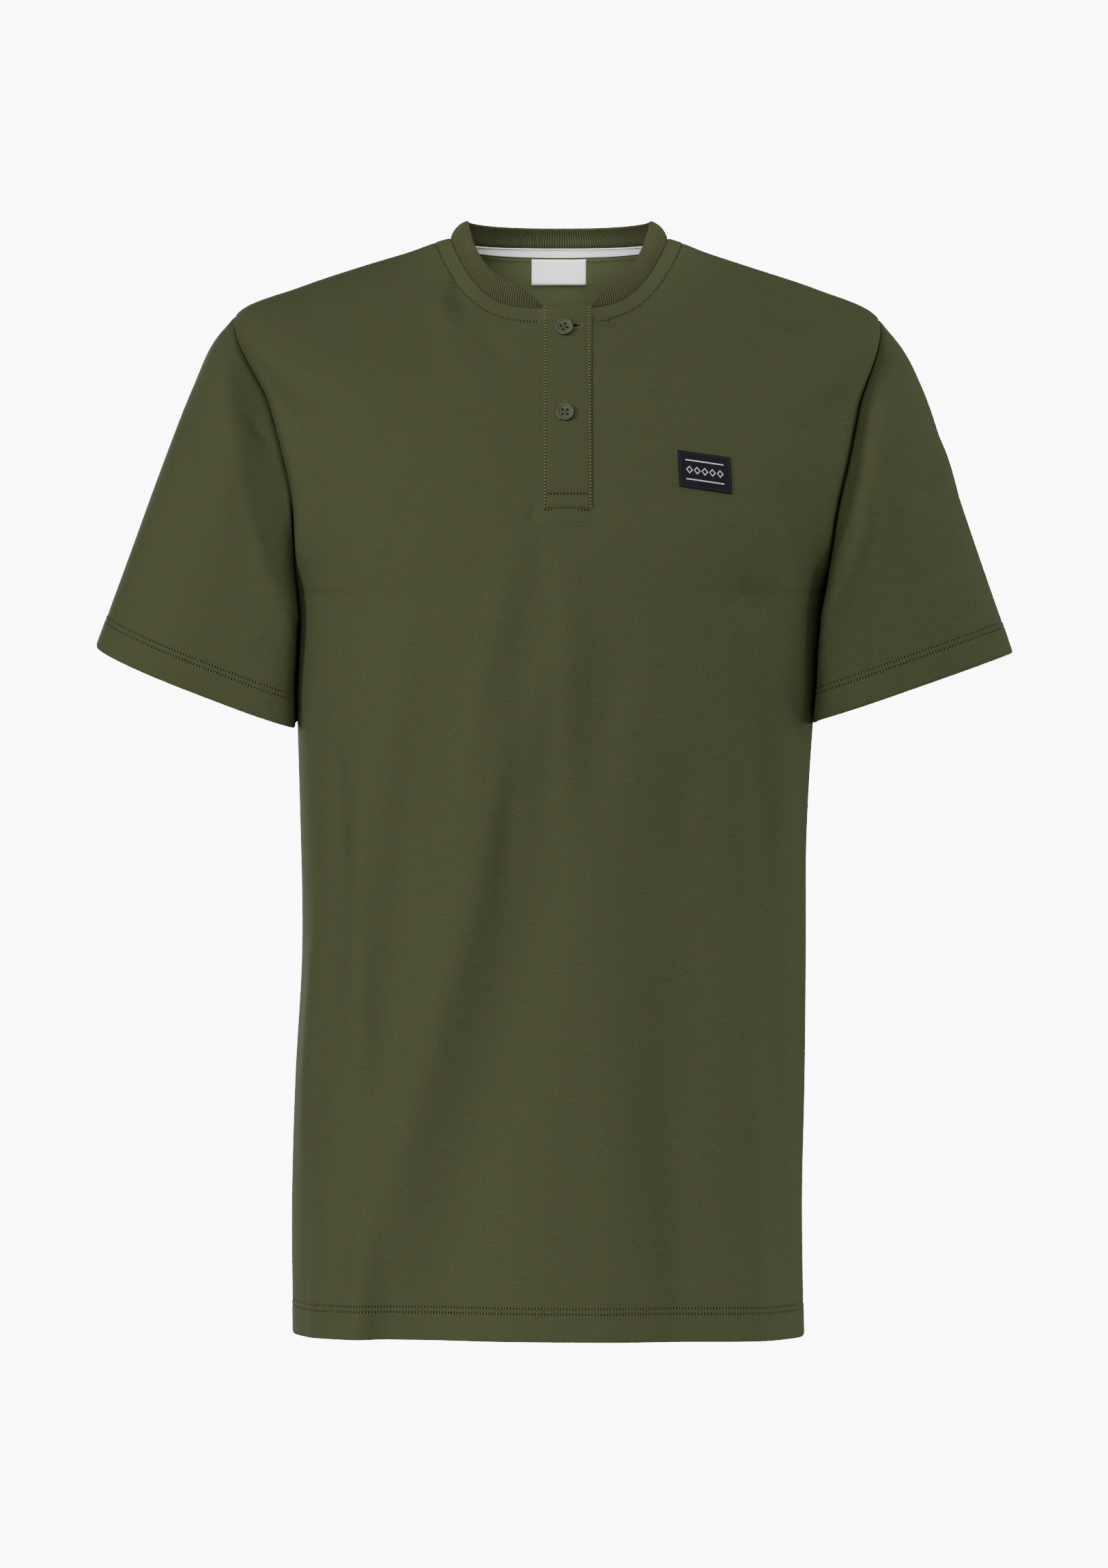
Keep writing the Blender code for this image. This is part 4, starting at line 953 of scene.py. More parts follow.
def neckline(start_x, end_x):
    """The neck seam from the placket's left edge round the back to its right edge, finely divided."""
    climb = CLIMB_OF["neck"]
    front_angles = np.linspace(-math.pi / 2, math.pi / 2, 721)
    xs = cloth_points(front_angles, climb)[:, 0]
    start = float(np.interp(start_x, xs, front_angles))
    end = float(np.interp(end_x, xs, front_angles)) - 2 * math.pi
    angles = np.linspace(start, end, 1441)
    points = cloth_points(angles, climb)
    return points, unit(points - cloth_points(angles, climb - 2 * MM))


gap = PLACKET_WIDTH / 2 + RIB_END_GAP
dense, dense_rising = neckline(PLACKET_MIDDLE - gap, PLACKET_MIDDLE + gap)
neck_way = travelled(dense)
rib_count = round(neck_way[-1] / RIB_PITCH)
rib_places = (np.arange(rib_count)[:, None] + np.array(RIB_SHARES)).ravel() / rib_count * neck_way[-1]
rib_places = np.append(rib_places, neck_way[-1])
seam = along(dense, rib_places)
rising = sampled(dense_rising, neck_way, rib_places)
tangent = unit(np.gradient(seam, axis=0))
tangent = unit(np.array([np.convolve(np.pad(tangent[:, axis], 20, mode="edge"), np.ones(41) / 41, "valid")
                         for axis in range(3)]).T)
flat = tangent * np.array([1.0, 1.0, 0.0])
inward = unit(np.cross(unit(flat), (0.0, 0.0, 1.0)))
inward *= -np.sign((inward * (seam - seam.mean(axis=0))).sum(axis=1, keepdims=True))
frontness = ease(-seam[:, 1:2] / (60 * MM))
lean = unit(inward * (RIB_LEAN + (RIB_FRONT_LEAN - RIB_LEAN) * frontness) + np.array([0.0, 0.0, 1.0]))
outward = unit(np.cross(lean, tangent))
outward *= np.sign(-(outward * inward).sum(axis=1, keepdims=True))
from_end = np.minimum(rib_places, neck_way[-1] - rib_places)[:, None]
taper = np.sin(np.clip(from_end / RIB_TAPER, 0, 1) * math.pi / 2)
rib_width = RIB_END_WIDTH + (RIB_WIDTH - RIB_END_WIDTH) * taper
foot = seam + rising * 0.25 * MM
share_of_rib = np.append(np.tile(RIB_SHARES, rib_count), 0.0)
rib_round = np.sqrt(np.maximum(0.0, 1 - (2 * share_of_rib - 1) ** 2))[:, None] - 0.7

# Section of the band, from its outer foot over its fold to its inner foot: up as a share of its width, out in
# millimetres, and how much of the ribs' relief shows.
RibRow = namedtuple("RibRow", "up out relief")
RIB_SECTION = [
    RibRow(-0.05, -0.9, 0.2), RibRow(0.00, -0.15, 0.7), RibRow(0.07, 0.20, 1.0), RibRow(0.22, 0.45, 1.0),
    RibRow(0.42, 0.55, 1.0), RibRow(0.62, 0.45, 1.0), RibRow(0.80, 0.25, 1.0), RibRow(0.92, 0.00, 0.9),
    RibRow(0.98, -0.35, 0.45), RibRow(1.00, -0.95, 0.25), RibRow(0.975, -1.55, -0.6),
    RibRow(0.90, -1.85, -0.9), RibRow(0.70, -1.95, -1.0), RibRow(0.45, -1.95, -1.0),
    RibRow(0.20, -1.85, -1.0), RibRow(0.00, -1.70, -0.6),
]
rings, rib_uv = [], []
for row in RIB_SECTION:
    share = max(0.0, row.up)
    bulge = RIB_BULGE * (1 - 0.7 * frontness) * (math.sin(math.pi * share) - 0.5 * share ** 6)
    out = (row.out * MM * np.clip(rib_width / (8 * MM), 0.45, 1.0) + bulge
           + RIB_RELIEF * row.relief * rib_round)
    rings.append(foot + lean * (rib_width * row.up) + outward * out)
    across_v = 0.1 + abs(row.up) * RIB_WIDTH + (0.02 if row.relief < 0 else 0.0)
    rib_uv.append(np.stack([rib_places, np.full(len(rib_places), across_v)], axis=1))
rib_grid = np.array(rings).transpose(1, 0, 2)
rib_uv = np.array(rib_uv + rib_uv[:1]).transpose(1, 0, 2)
rib_mesh = grid_mesh(rib_grid, rib_uv, closed=True)
work = bmesh.new()
work.from_mesh(rib_mesh)
bmesh.ops.holes_fill(work, edges=[edge for edge in work.edges if edge.is_boundary], sides=0)
bmesh.ops.recalc_face_normals(work, faces=work.faces)
work.to_mesh(rib_mesh)
work.free()

RIB_OLIVE = (0.0610, 0.0690, 0.0305, 1.0)
RIB_BROWN = (0.0660, 0.0645, 0.0305, 1.0)
rib_knit, tree, shader = new_material("olive rib knit")
surface = cloth_uv(tree)
place = split(tree, surface)
along_rib = maths(tree, "MULTIPLY", maths(tree, "DIVIDE", place["X"], neck_way[-1] / rib_count), math.pi)
crest = maths(tree, "ABSOLUTE", maths(tree, "SINE", along_rib))
stitch_wave = maths(tree, "SINE", maths(tree, "MULTIPLY", place["Y"], 2 * math.pi / (0.85 * MM)))
stitch_rise = between(tree, stitch_wave, -1.0, 1.0)
dyed = add_node(tree, "ShaderNodeGroup",
                {"Vector": surface, "Shade": RIB_OLIVE, "Warm Shade": RIB_BROWN, "Fleck": GOLD_FIBRE,
                 "Fleck Share": 0.2}, node_tree=yarn_dye).outputs["Color"]
# Painted shade: the rib knit is darker in the valleys between its ribs and between its rows of stitches.
rib_valley_shade = mixed(tree, 1.0, dyed, (0.16, 0.16, 0.18, 1.0), "MULTIPLY")
ribbed = mixed(tree, between(tree, crest, 0.15, 0.80), rib_valley_shade, dyed)
fill(tree, shader, {
    "Base Color": mixed(tree, between(tree, stitch_rise, 0.0, 1.0, 0.22, 0.0), ribbed, rib_valley_shade),
    "Roughness": between(tree, crest, 0.0, 1.0, 0.95, 0.82),
    "Normal": bumped(tree, stitch_rise, 0.6, 0.12 * MM), "Sheen Weight": 0.02, "Specular IOR Level": 0.06})
collar = piece("collar_rib_knit", rib_mesh, rib_knit, node="collar_rib")


# ---------------------------------------------------------------- neck tape and label
# A white twill tape covers the back neck seam on the inside, from shoulder to shoulder, and a bare white
# woven label hangs from it, its ends folded under.
TAPE_DROP, TAPE_STITCH_ROW = 7.2, 5.2    # millimetres below the neck seam
TAPE_CLOTH = 0.7 * MM
TAPE_ROWS = [TAPE_DROP, 6.8, 6.0, TAPE_STITCH_ROW, 3.8, 2.4, 1.2, 0.5, 0.2]
back_inner = back_grid - outward_normals(back_grid) * (CLOTH + 0.15 * MM)
tape_grid = np.array([along(back_inner[::-1, column], np.array(TAPE_ROWS) * MM)
                      for column in range(back_inner.shape[1])]).transpose(1, 0, 2)
tape_across = row_girths(tape_grid, BACK_MIDDLE)
tape_down = np.repeat(0.02 - np.array(TAPE_ROWS)[:, None] * MM, tape_grid.shape[1], axis=1)
tape_uv = np.stack([tape_across + 0.2, tape_down], axis=2)

# Woven ribbon: fine slanting ridges across the threads.
woven_twill, given, put = new_group(
    "woven twill",
    [("Vector", "NodeSocketVector", None), ("Pitch", "NodeSocketFloat", 0.0006),
     ("Slant", "NodeSocketFloat", 1.0)],
    [("Ridge", "NodeSocketFloat")])
place = split(woven_twill, given["Vector"])
slanted = maths(woven_twill, "ADD", place["X"], maths(woven_twill, "MULTIPLY", place["Y"], given["Slant"]))
turns = maths(woven_twill, "MULTIPLY", maths(woven_twill, "DIVIDE", slanted, given["Pitch"]), 2 * math.pi)
cross = maths(woven_twill, "MULTIPLY", maths(woven_twill, "DIVIDE", place["Y"], given["Pitch"]), 4 * math.pi)
ridge = maths(woven_twill, "ADD", maths(woven_twill, "SINE", turns),
              maths(woven_twill, "MULTIPLY", maths(woven_twill, "SINE", cross), 0.4))
woven_twill.links.new(between(woven_twill, ridge, -1.4, 1.4), put["Ridge"])


def woven_material(name, shade, hollow_shade, pitch, slant, depth):
    """Woven cloth of one colour, with painted shade between its ridges. Returns what a pattern can build on,
    too.
    """
    made, tree, shader = new_material(name)
    surface = cloth_uv(tree)
    ridge = add_node(tree, "ShaderNodeGroup", {"Vector": surface, "Pitch": pitch, "Slant": slant},
                     node_tree=woven_twill).outputs["Ridge"]
    cloudy = maths(tree, "MULTIPLY", noise(tree, surface, 160.0, 3.0), 0.2)
    lifted = maths(tree, "ADD", maths(tree, "MULTIPLY", ridge, 0.8), cloudy, clamp=True)
    # Painted shade: hollow_shade is the colour between the ridges.
    colour = mixed(tree, lifted, hollow_shade, shade)
    fill(tree, shader, {
        "Base Color": colour, "Roughness": between(tree, ridge, 0.0, 1.0, 0.9, 0.7),
        "Normal": bumped(tree, ridge, 0.5, depth), "Specular IOR Level": 0.3})
    return made, tree, shader, surface, ridge, colour


# The second colour is the painted shade between the tape's ridges.
white_tape = woven_material("white twill tape", (0.97, 0.98, 0.96, 1.0), (0.90, 0.91, 0.89, 1.0),
                            0.75 * MM, 0.8, 0.12 * MM)[0]
tape = piece("neck_tape_twill", grid_mesh(tape_grid, tape_uv), white_tape, TAPE_CLOTH,
             "neck_tape")

LABEL_TOP, LABEL_FOOT = -7.6 * MM, -24.0 * MM
LABEL_GAP, LABEL_HANG = 0.8 * MM, 0.8 * MM      # from the back at its top, and how much more at its foot
LABEL_CLOTH = 0.7 * MM
label_columns = np.linspace(LABEL_SIDES[1], LABEL_SIDES[0], 20)
xs, zs = np.meshgrid(label_columns, np.linspace(LABEL_FOOT, LABEL_TOP, 10))
points, normals = panel_patch(back_plain, xs, zs)
aside = np.minimum(xs - label_columns[0], label_columns[-1] - xs)
hang = LABEL_HANG * ((zs - LABEL_TOP) / (LABEL_FOOT - LABEL_TOP)) ** 2 - 0.25 * MM * bell(aside, 0.8 * MM)
label_grid = points - normals * (CLOTH + LABEL_GAP + hang)[..., None]
label_uv = np.stack([xs + 0.1, zs + 0.1], axis=2)
# The second colour is the painted shade between the label's ridges.
white_label = woven_material("white label satin", (0.94, 0.95, 0.93, 1.0), (0.82, 0.83, 0.81, 1.0),
                             0.42 * MM, 0.15, 0.05 * MM)[0]
label = piece("neck_label_woven", grid_mesh(label_grid, label_uv), white_label, LABEL_CLOTH,
              "neck_label")


# ---------------------------------------------------------------- chest patch
# A small woven patch in near-black navy, its edges folded under, sewn flat to the chest. Its ornament, in
# white thread, is a row of plain diamonds between two lines.
PATCH_WIDTH, PATCH_HEIGHT = 34.5 * MM, 24.0 * MM
PATCH_MIDDLE = (95.0 * MM, -158.2 * MM)
PATCH_FALL, PATCH_LEAN = 0.138, 0.045       # slant of its lines and of its sides
PATCH_CLOTH, PATCH_LIFT = 1.0 * MM, 1.5 * MM
PATCH_EDGE_ROLL, PATCH_FURROW, PATCH_FURROW_INSET = 0.45 * MM, 0.22 * MM, 1.4 * MM
across = np.sort(np.concatenate([np.linspace(-0.5, 0.5, 25), [-0.49, -0.475, 0.475, 0.49]])) * PATCH_WIDTH
upward = np.sort(np.concatenate([np.linspace(-0.5, 0.5, 19), [-0.487, -0.465, 0.465, 0.487]])) * PATCH_HEIGHT
across, upward = np.meshgrid(across, upward)
points, normals = panel_patch(front_plain, PATCH_MIDDLE[0] + across - upward * PATCH_LEAN,
                              PATCH_MIDDLE[1] + upward - across * PATCH_FALL)
inset = np.minimum(PATCH_WIDTH / 2 - np.abs(across), PATCH_HEIGHT / 2 - np.abs(upward))
rise = (PATCH_LIFT - PATCH_EDGE_ROLL * bell(inset, 0.5 * MM)
        - PATCH_FURROW * bell(inset - PATCH_FURROW_INSET, 0.5 * MM))
patch_grid = points + normals * rise[..., None]
PATTERN_MIDDLE = 0.05       # in the patch's UV
patch_uv = np.stack([across + PATTERN_MIDDLE, upward + PATTERN_MIDDLE], axis=2)

PATTERN_HALF = 12.4 * MM
DIAMOND_PITCH, DIAMOND_WIDE, DIAMOND_HIGH = 5.0 * MM, 2.3 * MM, 2.6 * MM
LINE_FROM_MIDDLE, LINE_HALF = 6.2 * MM, 0.38 * MM
# The second colour is the painted shade between the patch's ridges.
navy, tree, shader, surface, ridge, colour = woven_material(
    "navy woven patch", (0.0140, 0.0148, 0.0205, 1.0), (0.0060, 0.0064, 0.0092, 1.0),
    0.5 * MM, 1.0, 0.06 * MM)
place = split(tree, surface)
from_middle_x, from_middle_y = (
    maths(tree, "ABSOLUTE", maths(tree, "SUBTRACT", place[axis], PATTERN_MIDDLE)) for axis in ("X", "Y"))
turned = maths(tree, "PINGPONG", maths(tree, "SUBTRACT", place["X"], PATTERN_MIDDLE), DIAMOND_PITCH / 2)
legs = maths(tree, "ADD", maths(tree, "DIVIDE", turned, DIAMOND_WIDE),
             maths(tree, "DIVIDE", from_middle_y, DIAMOND_HIGH))
outline = maths(tree, "ABSOLUTE", maths(tree, "SUBTRACT", legs, 0.8))
line_gap = maths(tree, "ABSOLUTE", maths(tree, "SUBTRACT", from_middle_y, LINE_FROM_MIDDLE))
figure = maths(tree, "MAXIMUM", maths(tree, "LESS_THAN", outline, 0.16),
               maths(tree, "LESS_THAN", line_gap, LINE_HALF))
white_thread = maths(tree, "MULTIPLY", figure, maths(tree, "LESS_THAN", from_middle_x, PATTERN_HALF))
# Painted shade: the white thread of the ornament is darker between the weave's ridges.
shaded_white_threads = mixed(tree, ridge, (0.34, 0.35, 0.36, 1.0), (0.72, 0.73, 0.74, 1.0))
fill(tree, shader, {"Base Color": mixed(tree, white_thread, colour, shaded_white_threads), "Specular IOR Level": 0.1})
patch = piece("chest_patch_woven", grid_mesh(patch_grid, patch_uv), navy, PATCH_CLOTH,
              "chest_patch")


# ---------------------------------------------------------------- buttons
# Two four-hole resin buttons, turned with a raised rim, are sewn to the under band through their holes with
# olive-yellow thread and pass through the buttonholes of the upper band.
Button = namedtuple("Button", "name x z turn")
BUTTONS = [
    Button("button_1", 3.2, -63.0, 27.0),
    Button("button_2", 3.8, -119.8, 0.0),
]
# Radius and height of the resin from the middle of its face, over its rim, to the middle of its back.
BUTTON_PROFILE = [
    (0.0, 1.62), (1.6, 1.62), (3.3, 1.66), (4.05, 1.80), (4.45, 2.15), (4.75, 2.48), (5.1, 2.60), (5.4, 2.56),
    (5.66, 2.36), (5.84, 2.05), (5.9, 1.70), (5.84, 1.30), (5.62, 0.70), (5.3, 0.30), (4.8, 0.06), (4.3, 0.0),
    (0.0, 0.0)]
BUTTON_SIDES = 72
BUTTON_LIFT = 0.85 * MM         # of its back over the band
HOLE_RADIUS, HOLE_OFFSET = 0.95 * MM, 2.1 * MM
HOLE_TURNS = math.pi / 4 + np.arange(4) * math.pi / 2
HOLE_SHADE_HEIGHT = 1.4 * MM


def object_place(tree):
    return add_node(tree, "ShaderNodeTexCoord").outputs["Object"]


button_green, tree, shader = new_material("green button resin")
spot = object_place(tree)
cloud, fine = noise(tree, spot, 420.0, 3.0), noise(tree, spot, 2600.0, 2.0)
resin = mixed(tree, between(tree, cloud, 0.35, 0.65), (0.064, 0.073, 0.044, 1.0), (0.084, 0.094, 0.058, 1.0))
place = split(tree, spot)
squares = [maths(tree, "POWER", place[axis], 2.0) for axis in ("X", "Y")]
radius = maths(tree, "SQRT", maths(tree, "ADD", *squares))
turning = maths(tree, "SINE", maths(tree, "MULTIPLY", radius, 2 * math.pi / (0.22 * MM)))
fill(tree, shader, {
    "Base Color": mixed(tree, between(tree, fine, 0.4, 0.8, 0.0, 0.5), resin, (0.036, 0.042, 0.024, 1.0)),
    "Roughness": between(tree, fine, 0.3, 0.7, 0.42, 0.60),
    "Normal": bumped(tree, turning, 0.25, 0.02 * MM), "Specular IOR Level": 0.15})

gap_shade, tree, shader = new_material("shade in the gaps")
dark = mixed(tree, noise(tree, object_place(tree), 900.0), (0.008, 0.009, 0.005, 1.0),
             (0.016, 0.018, 0.009, 1.0))
fill(tree, shader, {"Base Color": dark, "Roughness": 1.0, "Specular IOR Level": 0.0})

button_thread, tree, shader = new_material("button thread")
twist = noise(tree, object_place(tree), 3000.0, 1.0)
fill(tree, shader, {
    "Base Color": mixed(tree, between(tree, twist, 0.3, 0.7), (0.045, 0.043, 0.016, 1.0),
                        (0.110, 0.105, 0.038, 1.0)),
    "Roughness": between(tree, twist, 0.2, 0.8, 0.8, 0.6)})


def spokes(beside, over, sides):
    """The ways out to the corners of a ring round each point."""
    turn = np.linspace(0, 2 * math.pi, sides, endpoint=False)
    return np.cos(turn)[:, None] * beside[:, None] + np.sin(turn)[:, None] * over[:, None]


def tube_faces(sides, rings):
    return [(ring * sides + side, ring * sides + (side + 1) % sides,
             (ring + 1) * sides + (side + 1) % sides, (ring + 1) * sides + side)
            for ring in range(rings - 1) for side in range(sides)]


def strand(start, stop, rise, radius, sides=8, steps=8):
    """Vertices and quads of one thread that arches between two points."""
    shares = np.linspace(0, 1, steps + 1)
    middle = start + (stop - start) * shares[:, None]
    middle[:, 2] += rise * np.sin(shares * math.pi)
    way = unit(np.gradient(middle, axis=0))
    beside = unit(np.cross(way, (0.0, 0.0, 1.0)))
    ring = middle[:, None] + radius * spokes(beside, np.cross(beside, way), sides)
    return ring.reshape(-1, 3), tube_faces(sides, steps + 1)


def joined_mesh(parts, smooth=True):
    """One mesh of several sets of points and faces."""
    points, faces, start = [], [], 0
    for part_points, part_faces in parts:
        points += part_points.tolist()
        faces += (np.array(part_faces) + start).tolist()
        start += len(part_points)
    return new_mesh(points, faces, smooth)


def turned_button():
    """The button's solid of revolution with four holes cut through it."""
    turn = np.linspace(0, 2 * math.pi, BUTTON_SIDES, endpoint=False)
    work = bmesh.new()
    rings = []
    for radius, height in BUTTON_PROFILE:
        around = turn if radius else turn[:1]
        rings.append([work.verts.new((radius * MM * math.cos(a), radius * MM * math.sin(a), height * MM))
                      for a in around])
    for ring, beyond in zip(rings, rings[1:]):
        for step in range(BUTTON_SIDES):
            after = (step + 1) % BUTTON_SIDES
            corners = [ring[step % len(ring)], beyond[step % len(beyond)],
                       beyond[after % len(beyond)], ring[after % len(ring)]]
            work.faces.new(list(dict.fromkeys(corners)))
    bmesh.ops.recalc_face_normals(work, faces=work.faces)
    mesh = bpy.data.meshes.new("blank")
    work.to_mesh(mesh)
    work.free()
    blank = placed("blank", mesh)
    cutters = []
    for angle in HOLE_TURNS:
        place = (HOLE_OFFSET * math.cos(angle), HOLE_OFFSET * math.sin(angle), 0.0)
        bpy.ops.mesh.primitive_cylinder_add(vertices=20, radius=HOLE_RADIUS, depth=8 * MM, location=place)
        cutters.append(bpy.context.active_object)
        cut = blank.modifiers.new("hole", "BOOLEAN")
        cut.object = cutters[-1]
        cut.operation = "DIFFERENCE"
    whole = bpy.data.meshes.new_from_object(blank.evaluated_get(bpy.context.evaluated_depsgraph_get()))
    for used in [*cutters, blank]:
        bpy.data.objects.remove(used)
    whole.materials.clear()
    whole.shade_smooth()
    whole.set_sharp_from_angle(angle=math.radians(38))
    return whole


def button_threads():
    """Two strands through each pair of holes, and the shank of ten behind the button."""
    strands = []
    face = np.array([0, 0, 1.35 * MM])
    for turn in HOLE_TURNS[:2]:
        along_way = np.array([math.cos(turn), math.sin(turn), 0.0])
        beside_way = np.array([-along_way[1], along_way[0], 0.0])
        for offset in (-0.17, 0.15):
            start = -along_way * HOLE_OFFSET + beside_way * offset * MM + face
            stop = along_way * HOLE_OFFSET + beside_way * (offset * 0.8 + 0.05) * MM + face
            strands.append(strand(start, stop, 0.7 * MM, 0.11 * MM))
    for turn in np.linspace(0, 2 * math.pi, 10, endpoint=False):
        shank = np.array([math.cos(turn), math.sin(turn), 0.0]) * 1.1 * MM
        start, stop = shank + np.array([0, 0, -0.7 * MM]), shank * 1.05 + np.array([0.2 * MM, 0, 0.3 * MM])
        strands.append(strand(start, stop, 0.0, 0.3 * MM, 6, 2))
    return joined_mesh(strands)


def hole_shades():
    """A dark disc deep in each hole."""
    discs = []
    for turn in HOLE_TURNS:
        rim = turn + np.linspace(0, 2 * math.pi, 12, endpoint=False)
        radius = HOLE_RADIUS - 0.01 * MM
        discs.append((np.stack([HOLE_OFFSET * math.cos(turn) + radius * np.cos(rim),
                                HOLE_OFFSET * math.sin(turn) + radius * np.sin(rim),
                                np.full(12, HOLE_SHADE_HEIGHT)], axis=1), [tuple(range(12))]))
    return joined_mesh(discs)


def front_at(x, z, step=MM):
    """A point of the smooth front and the way it faces, measured a step to each side."""
    y, rise = panel_at(front_plain, x, z)
    turn = (panel_at(front_plain, x + step, z)[0] - panel_at(front_plain, x - step, z)[0]) / (2 * step)
    return np.array([x, y, z]), unit(np.array([turn, -1.0, rise]))


for each in BUTTONS:
    place, facing = front_at(each.x * MM, each.z * MM, 4 * MM)
    place = place + facing * (BAND_LIFT + BUTTON_LIFT)
    turn = Vector(facing).to_track_quat("Z", "Y") @ Quaternion((0, 0, 1), math.radians(each.turn))
    for part, mesh, finish, node in (("resin", turned_button(), button_green, each.name),
                                     ("thread", button_threads(), button_thread, None),
                                     ("hole_shade", hole_shades(), gap_shade, None)):
        piece(f"{each.name}_{part}", mesh, finish, node=node, place=place, turn=turn)


# ---------------------------------------------------------------- sewing
# All visible seams are sewn with olive thread, a shade lighter than the cloth: twin-needle rows at the hems,
# one row below the neck seam, the placket's edges and box, the buttonholes, and the tape and patch.
# Profile of a stitch along its length: place, thickness and height, as shares of its length and radius.
STITCH_SHARES = np.array([0.0, 0.12, 0.35, 0.65, 0.88, 1.0])
STITCH_THICK = np.array([0.35, 0.85, 1.0, 1.0, 0.85, 0.35])
STITCH_LIFT = np.array([-0.9, -0.1, 0.45, 0.45, -0.1, -0.9])
STITCH_SIDES = 5


def stitch_mesh(starts, stops, facings, radius, lift=0.0):
    """Many short stitches in one mesh, each a thread that dips into the cloth at both its ends."""
    way = stops - starts
    middle = starts[:, None] + way[:, None] * STITCH_SHARES[None, :, None]
    middle = middle + facings[:, None] * (STITCH_LIFT[None, :, None] * radius + lift)
    ring = spokes(unit(np.cross(unit(way), facings)), facings, STITCH_SIDES)
    points = middle[:, :, None] + ring[:, None] * (radius * STITCH_THICK)[None, :, None, None]
    first = np.arange(len(starts)) * len(STITCH_SHARES) * STITCH_SIDES
    quads = np.array(tube_faces(STITCH_SIDES, len(STITCH_SHARES)))[None] + first[:, None, None]
    return new_mesh(points.reshape(-1, 3), quads.reshape(-1, 4))


def row_of_stitches(line, facings, pitch, gap, closed=False):
    """Start, stop and facing of each stitch along a polyline; gap is the share of the pitch between two."""
    if closed:
        line, facings = np.vstack([line, line[:1]]), np.vstack([facings, facings[:1]])
    way = travelled(line)
    count = max(1, round(way[-1] / pitch))
    pitch = way[-1] / count
    begin = (np.arange(count) + 0.5 * gap) * pitch
    end = begin + pitch * (1 - gap)
    return along(line, begin), along(line, end), unit(sampled(facings, way, (begin + end) / 2))


# Places, facings and radii of the dark discs of painted needle-hole shade.
needle_spots, needle_faces, needle_sizes = [], [], []


def sewn(name, rows, finish, radius, lift=0.0, pricked=0.0):
    """A piece of stitches. Where they are pricked, a dark disc of that radius, painted shade of a needle
    hole, comes between each two.
    """
    starts, stops, faces = (np.vstack([row[index] for row in rows]) for index in range(3))
    if pricked:
        needle_spots.extend((row[1][:-1] + row[0][1:]) / 2 + row[2][1:] * lift for row in rows)
        needle_faces.extend(row[2][1:] for row in rows)
        needle_sizes.extend(np.full(len(row[0]) - 1, pricked) for row in rows)
    piece(name, stitch_mesh(starts, stops, faces, radius, lift), finish)


def thread_material(name, shade, dark):
    made, tree, shader = new_material(name)
    twist = noise(tree, object_place(tree), 2400.0, 1.0)
    fill(tree, shader, {
        "Base Color": mixed(tree, between(tree, twist, 0.3, 0.7), dark, shade),
        "Roughness": between(tree, twist, 0.2, 0.8, 0.75, 0.55),
        "Normal": bumped(tree, twist, 0.4, 0.05 * MM)})
    return made


olive_thread = thread_material("olive sewing thread", (0.185, 0.185, 0.080, 1.0), (0.105, 0.106, 0.046, 1.0))
pale_thread = thread_material("pale olive sewing thread", (0.280, 0.285, 0.112, 1.0),
                              (0.180, 0.183, 0.072, 1.0))
HEM_STITCH = {"pitch": 2.05 * MM, "gap": 0.38}
HEM_THREAD, NECK_THREAD, THREAD_LIFT, PRICK = 0.26 * MM, 0.20 * MM, 0.05 * MM, 0.62 * MM
hem_rows = [HEM_ROWS.index(above) for above in (HEM_UPPER_ROW, HEM_LOWER_ROW)]
rows = [row_of_stitches(grid[row], outward_normals(grid)[row], **HEM_STITCH)
        for row in hem_rows for grid in (front_grid, back_grid)]
sewn("body_hem_stitches", rows, olive_thread, HEM_THREAD, lift=THREAD_LIFT, pricked=PRICK)
for side, grid in sleeves.items():
    wrapped = np.concatenate([grid[:, -1:], grid, grid[:, :1]], axis=1)
    facings = outward_normals(wrapped)[:, 1:-1]
    rows = [row_of_stitches(grid[row], facings[row], **HEM_STITCH, closed=True) for row in hem_rows]
    sewn(f"sleeve_{side}_stitches", rows, olive_thread, HEM_THREAD, lift=THREAD_LIFT, pricked=PRICK)

neck_row = -1 - NECK_ROWS[::-1].index(NECK_STITCH_ROW)
front_line, front_facing = front_grid[neck_row], outward_normals(front_grid)[neck_row]
beside_band = 0.5 * MM
rows = [row_of_stitches(front_line[part], front_facing[part], **HEM_STITCH)
        for part in (front_line[:, 0] < band_left - beside_band, front_line[:, 0] > band_right + beside_band)]
rows.append(row_of_stitches(back_grid[neck_row], outward_normals(back_grid)[neck_row], **HEM_STITCH))
sewn("neck_stitches", rows, olive_thread, NECK_THREAD, lift=THREAD_LIFT, pricked=PRICK)


def over_front(xs, zs, lift):
    """Points at a height over the smooth front, and the ways they face, one for each X and Z."""
    points, faces = (np.array(each) for each in zip(*(front_at(x, z) for x, z in zip(xs, zs))))
    return points + faces * lift, faces


def band_line(start, stop, lift, count=60):
    """A straight line on the upper band from one (X, Z) to another, as points and normals."""
    return over_front(np.linspace(start[0], stop[0], count), np.linspace(start[1], stop[1], count), lift)


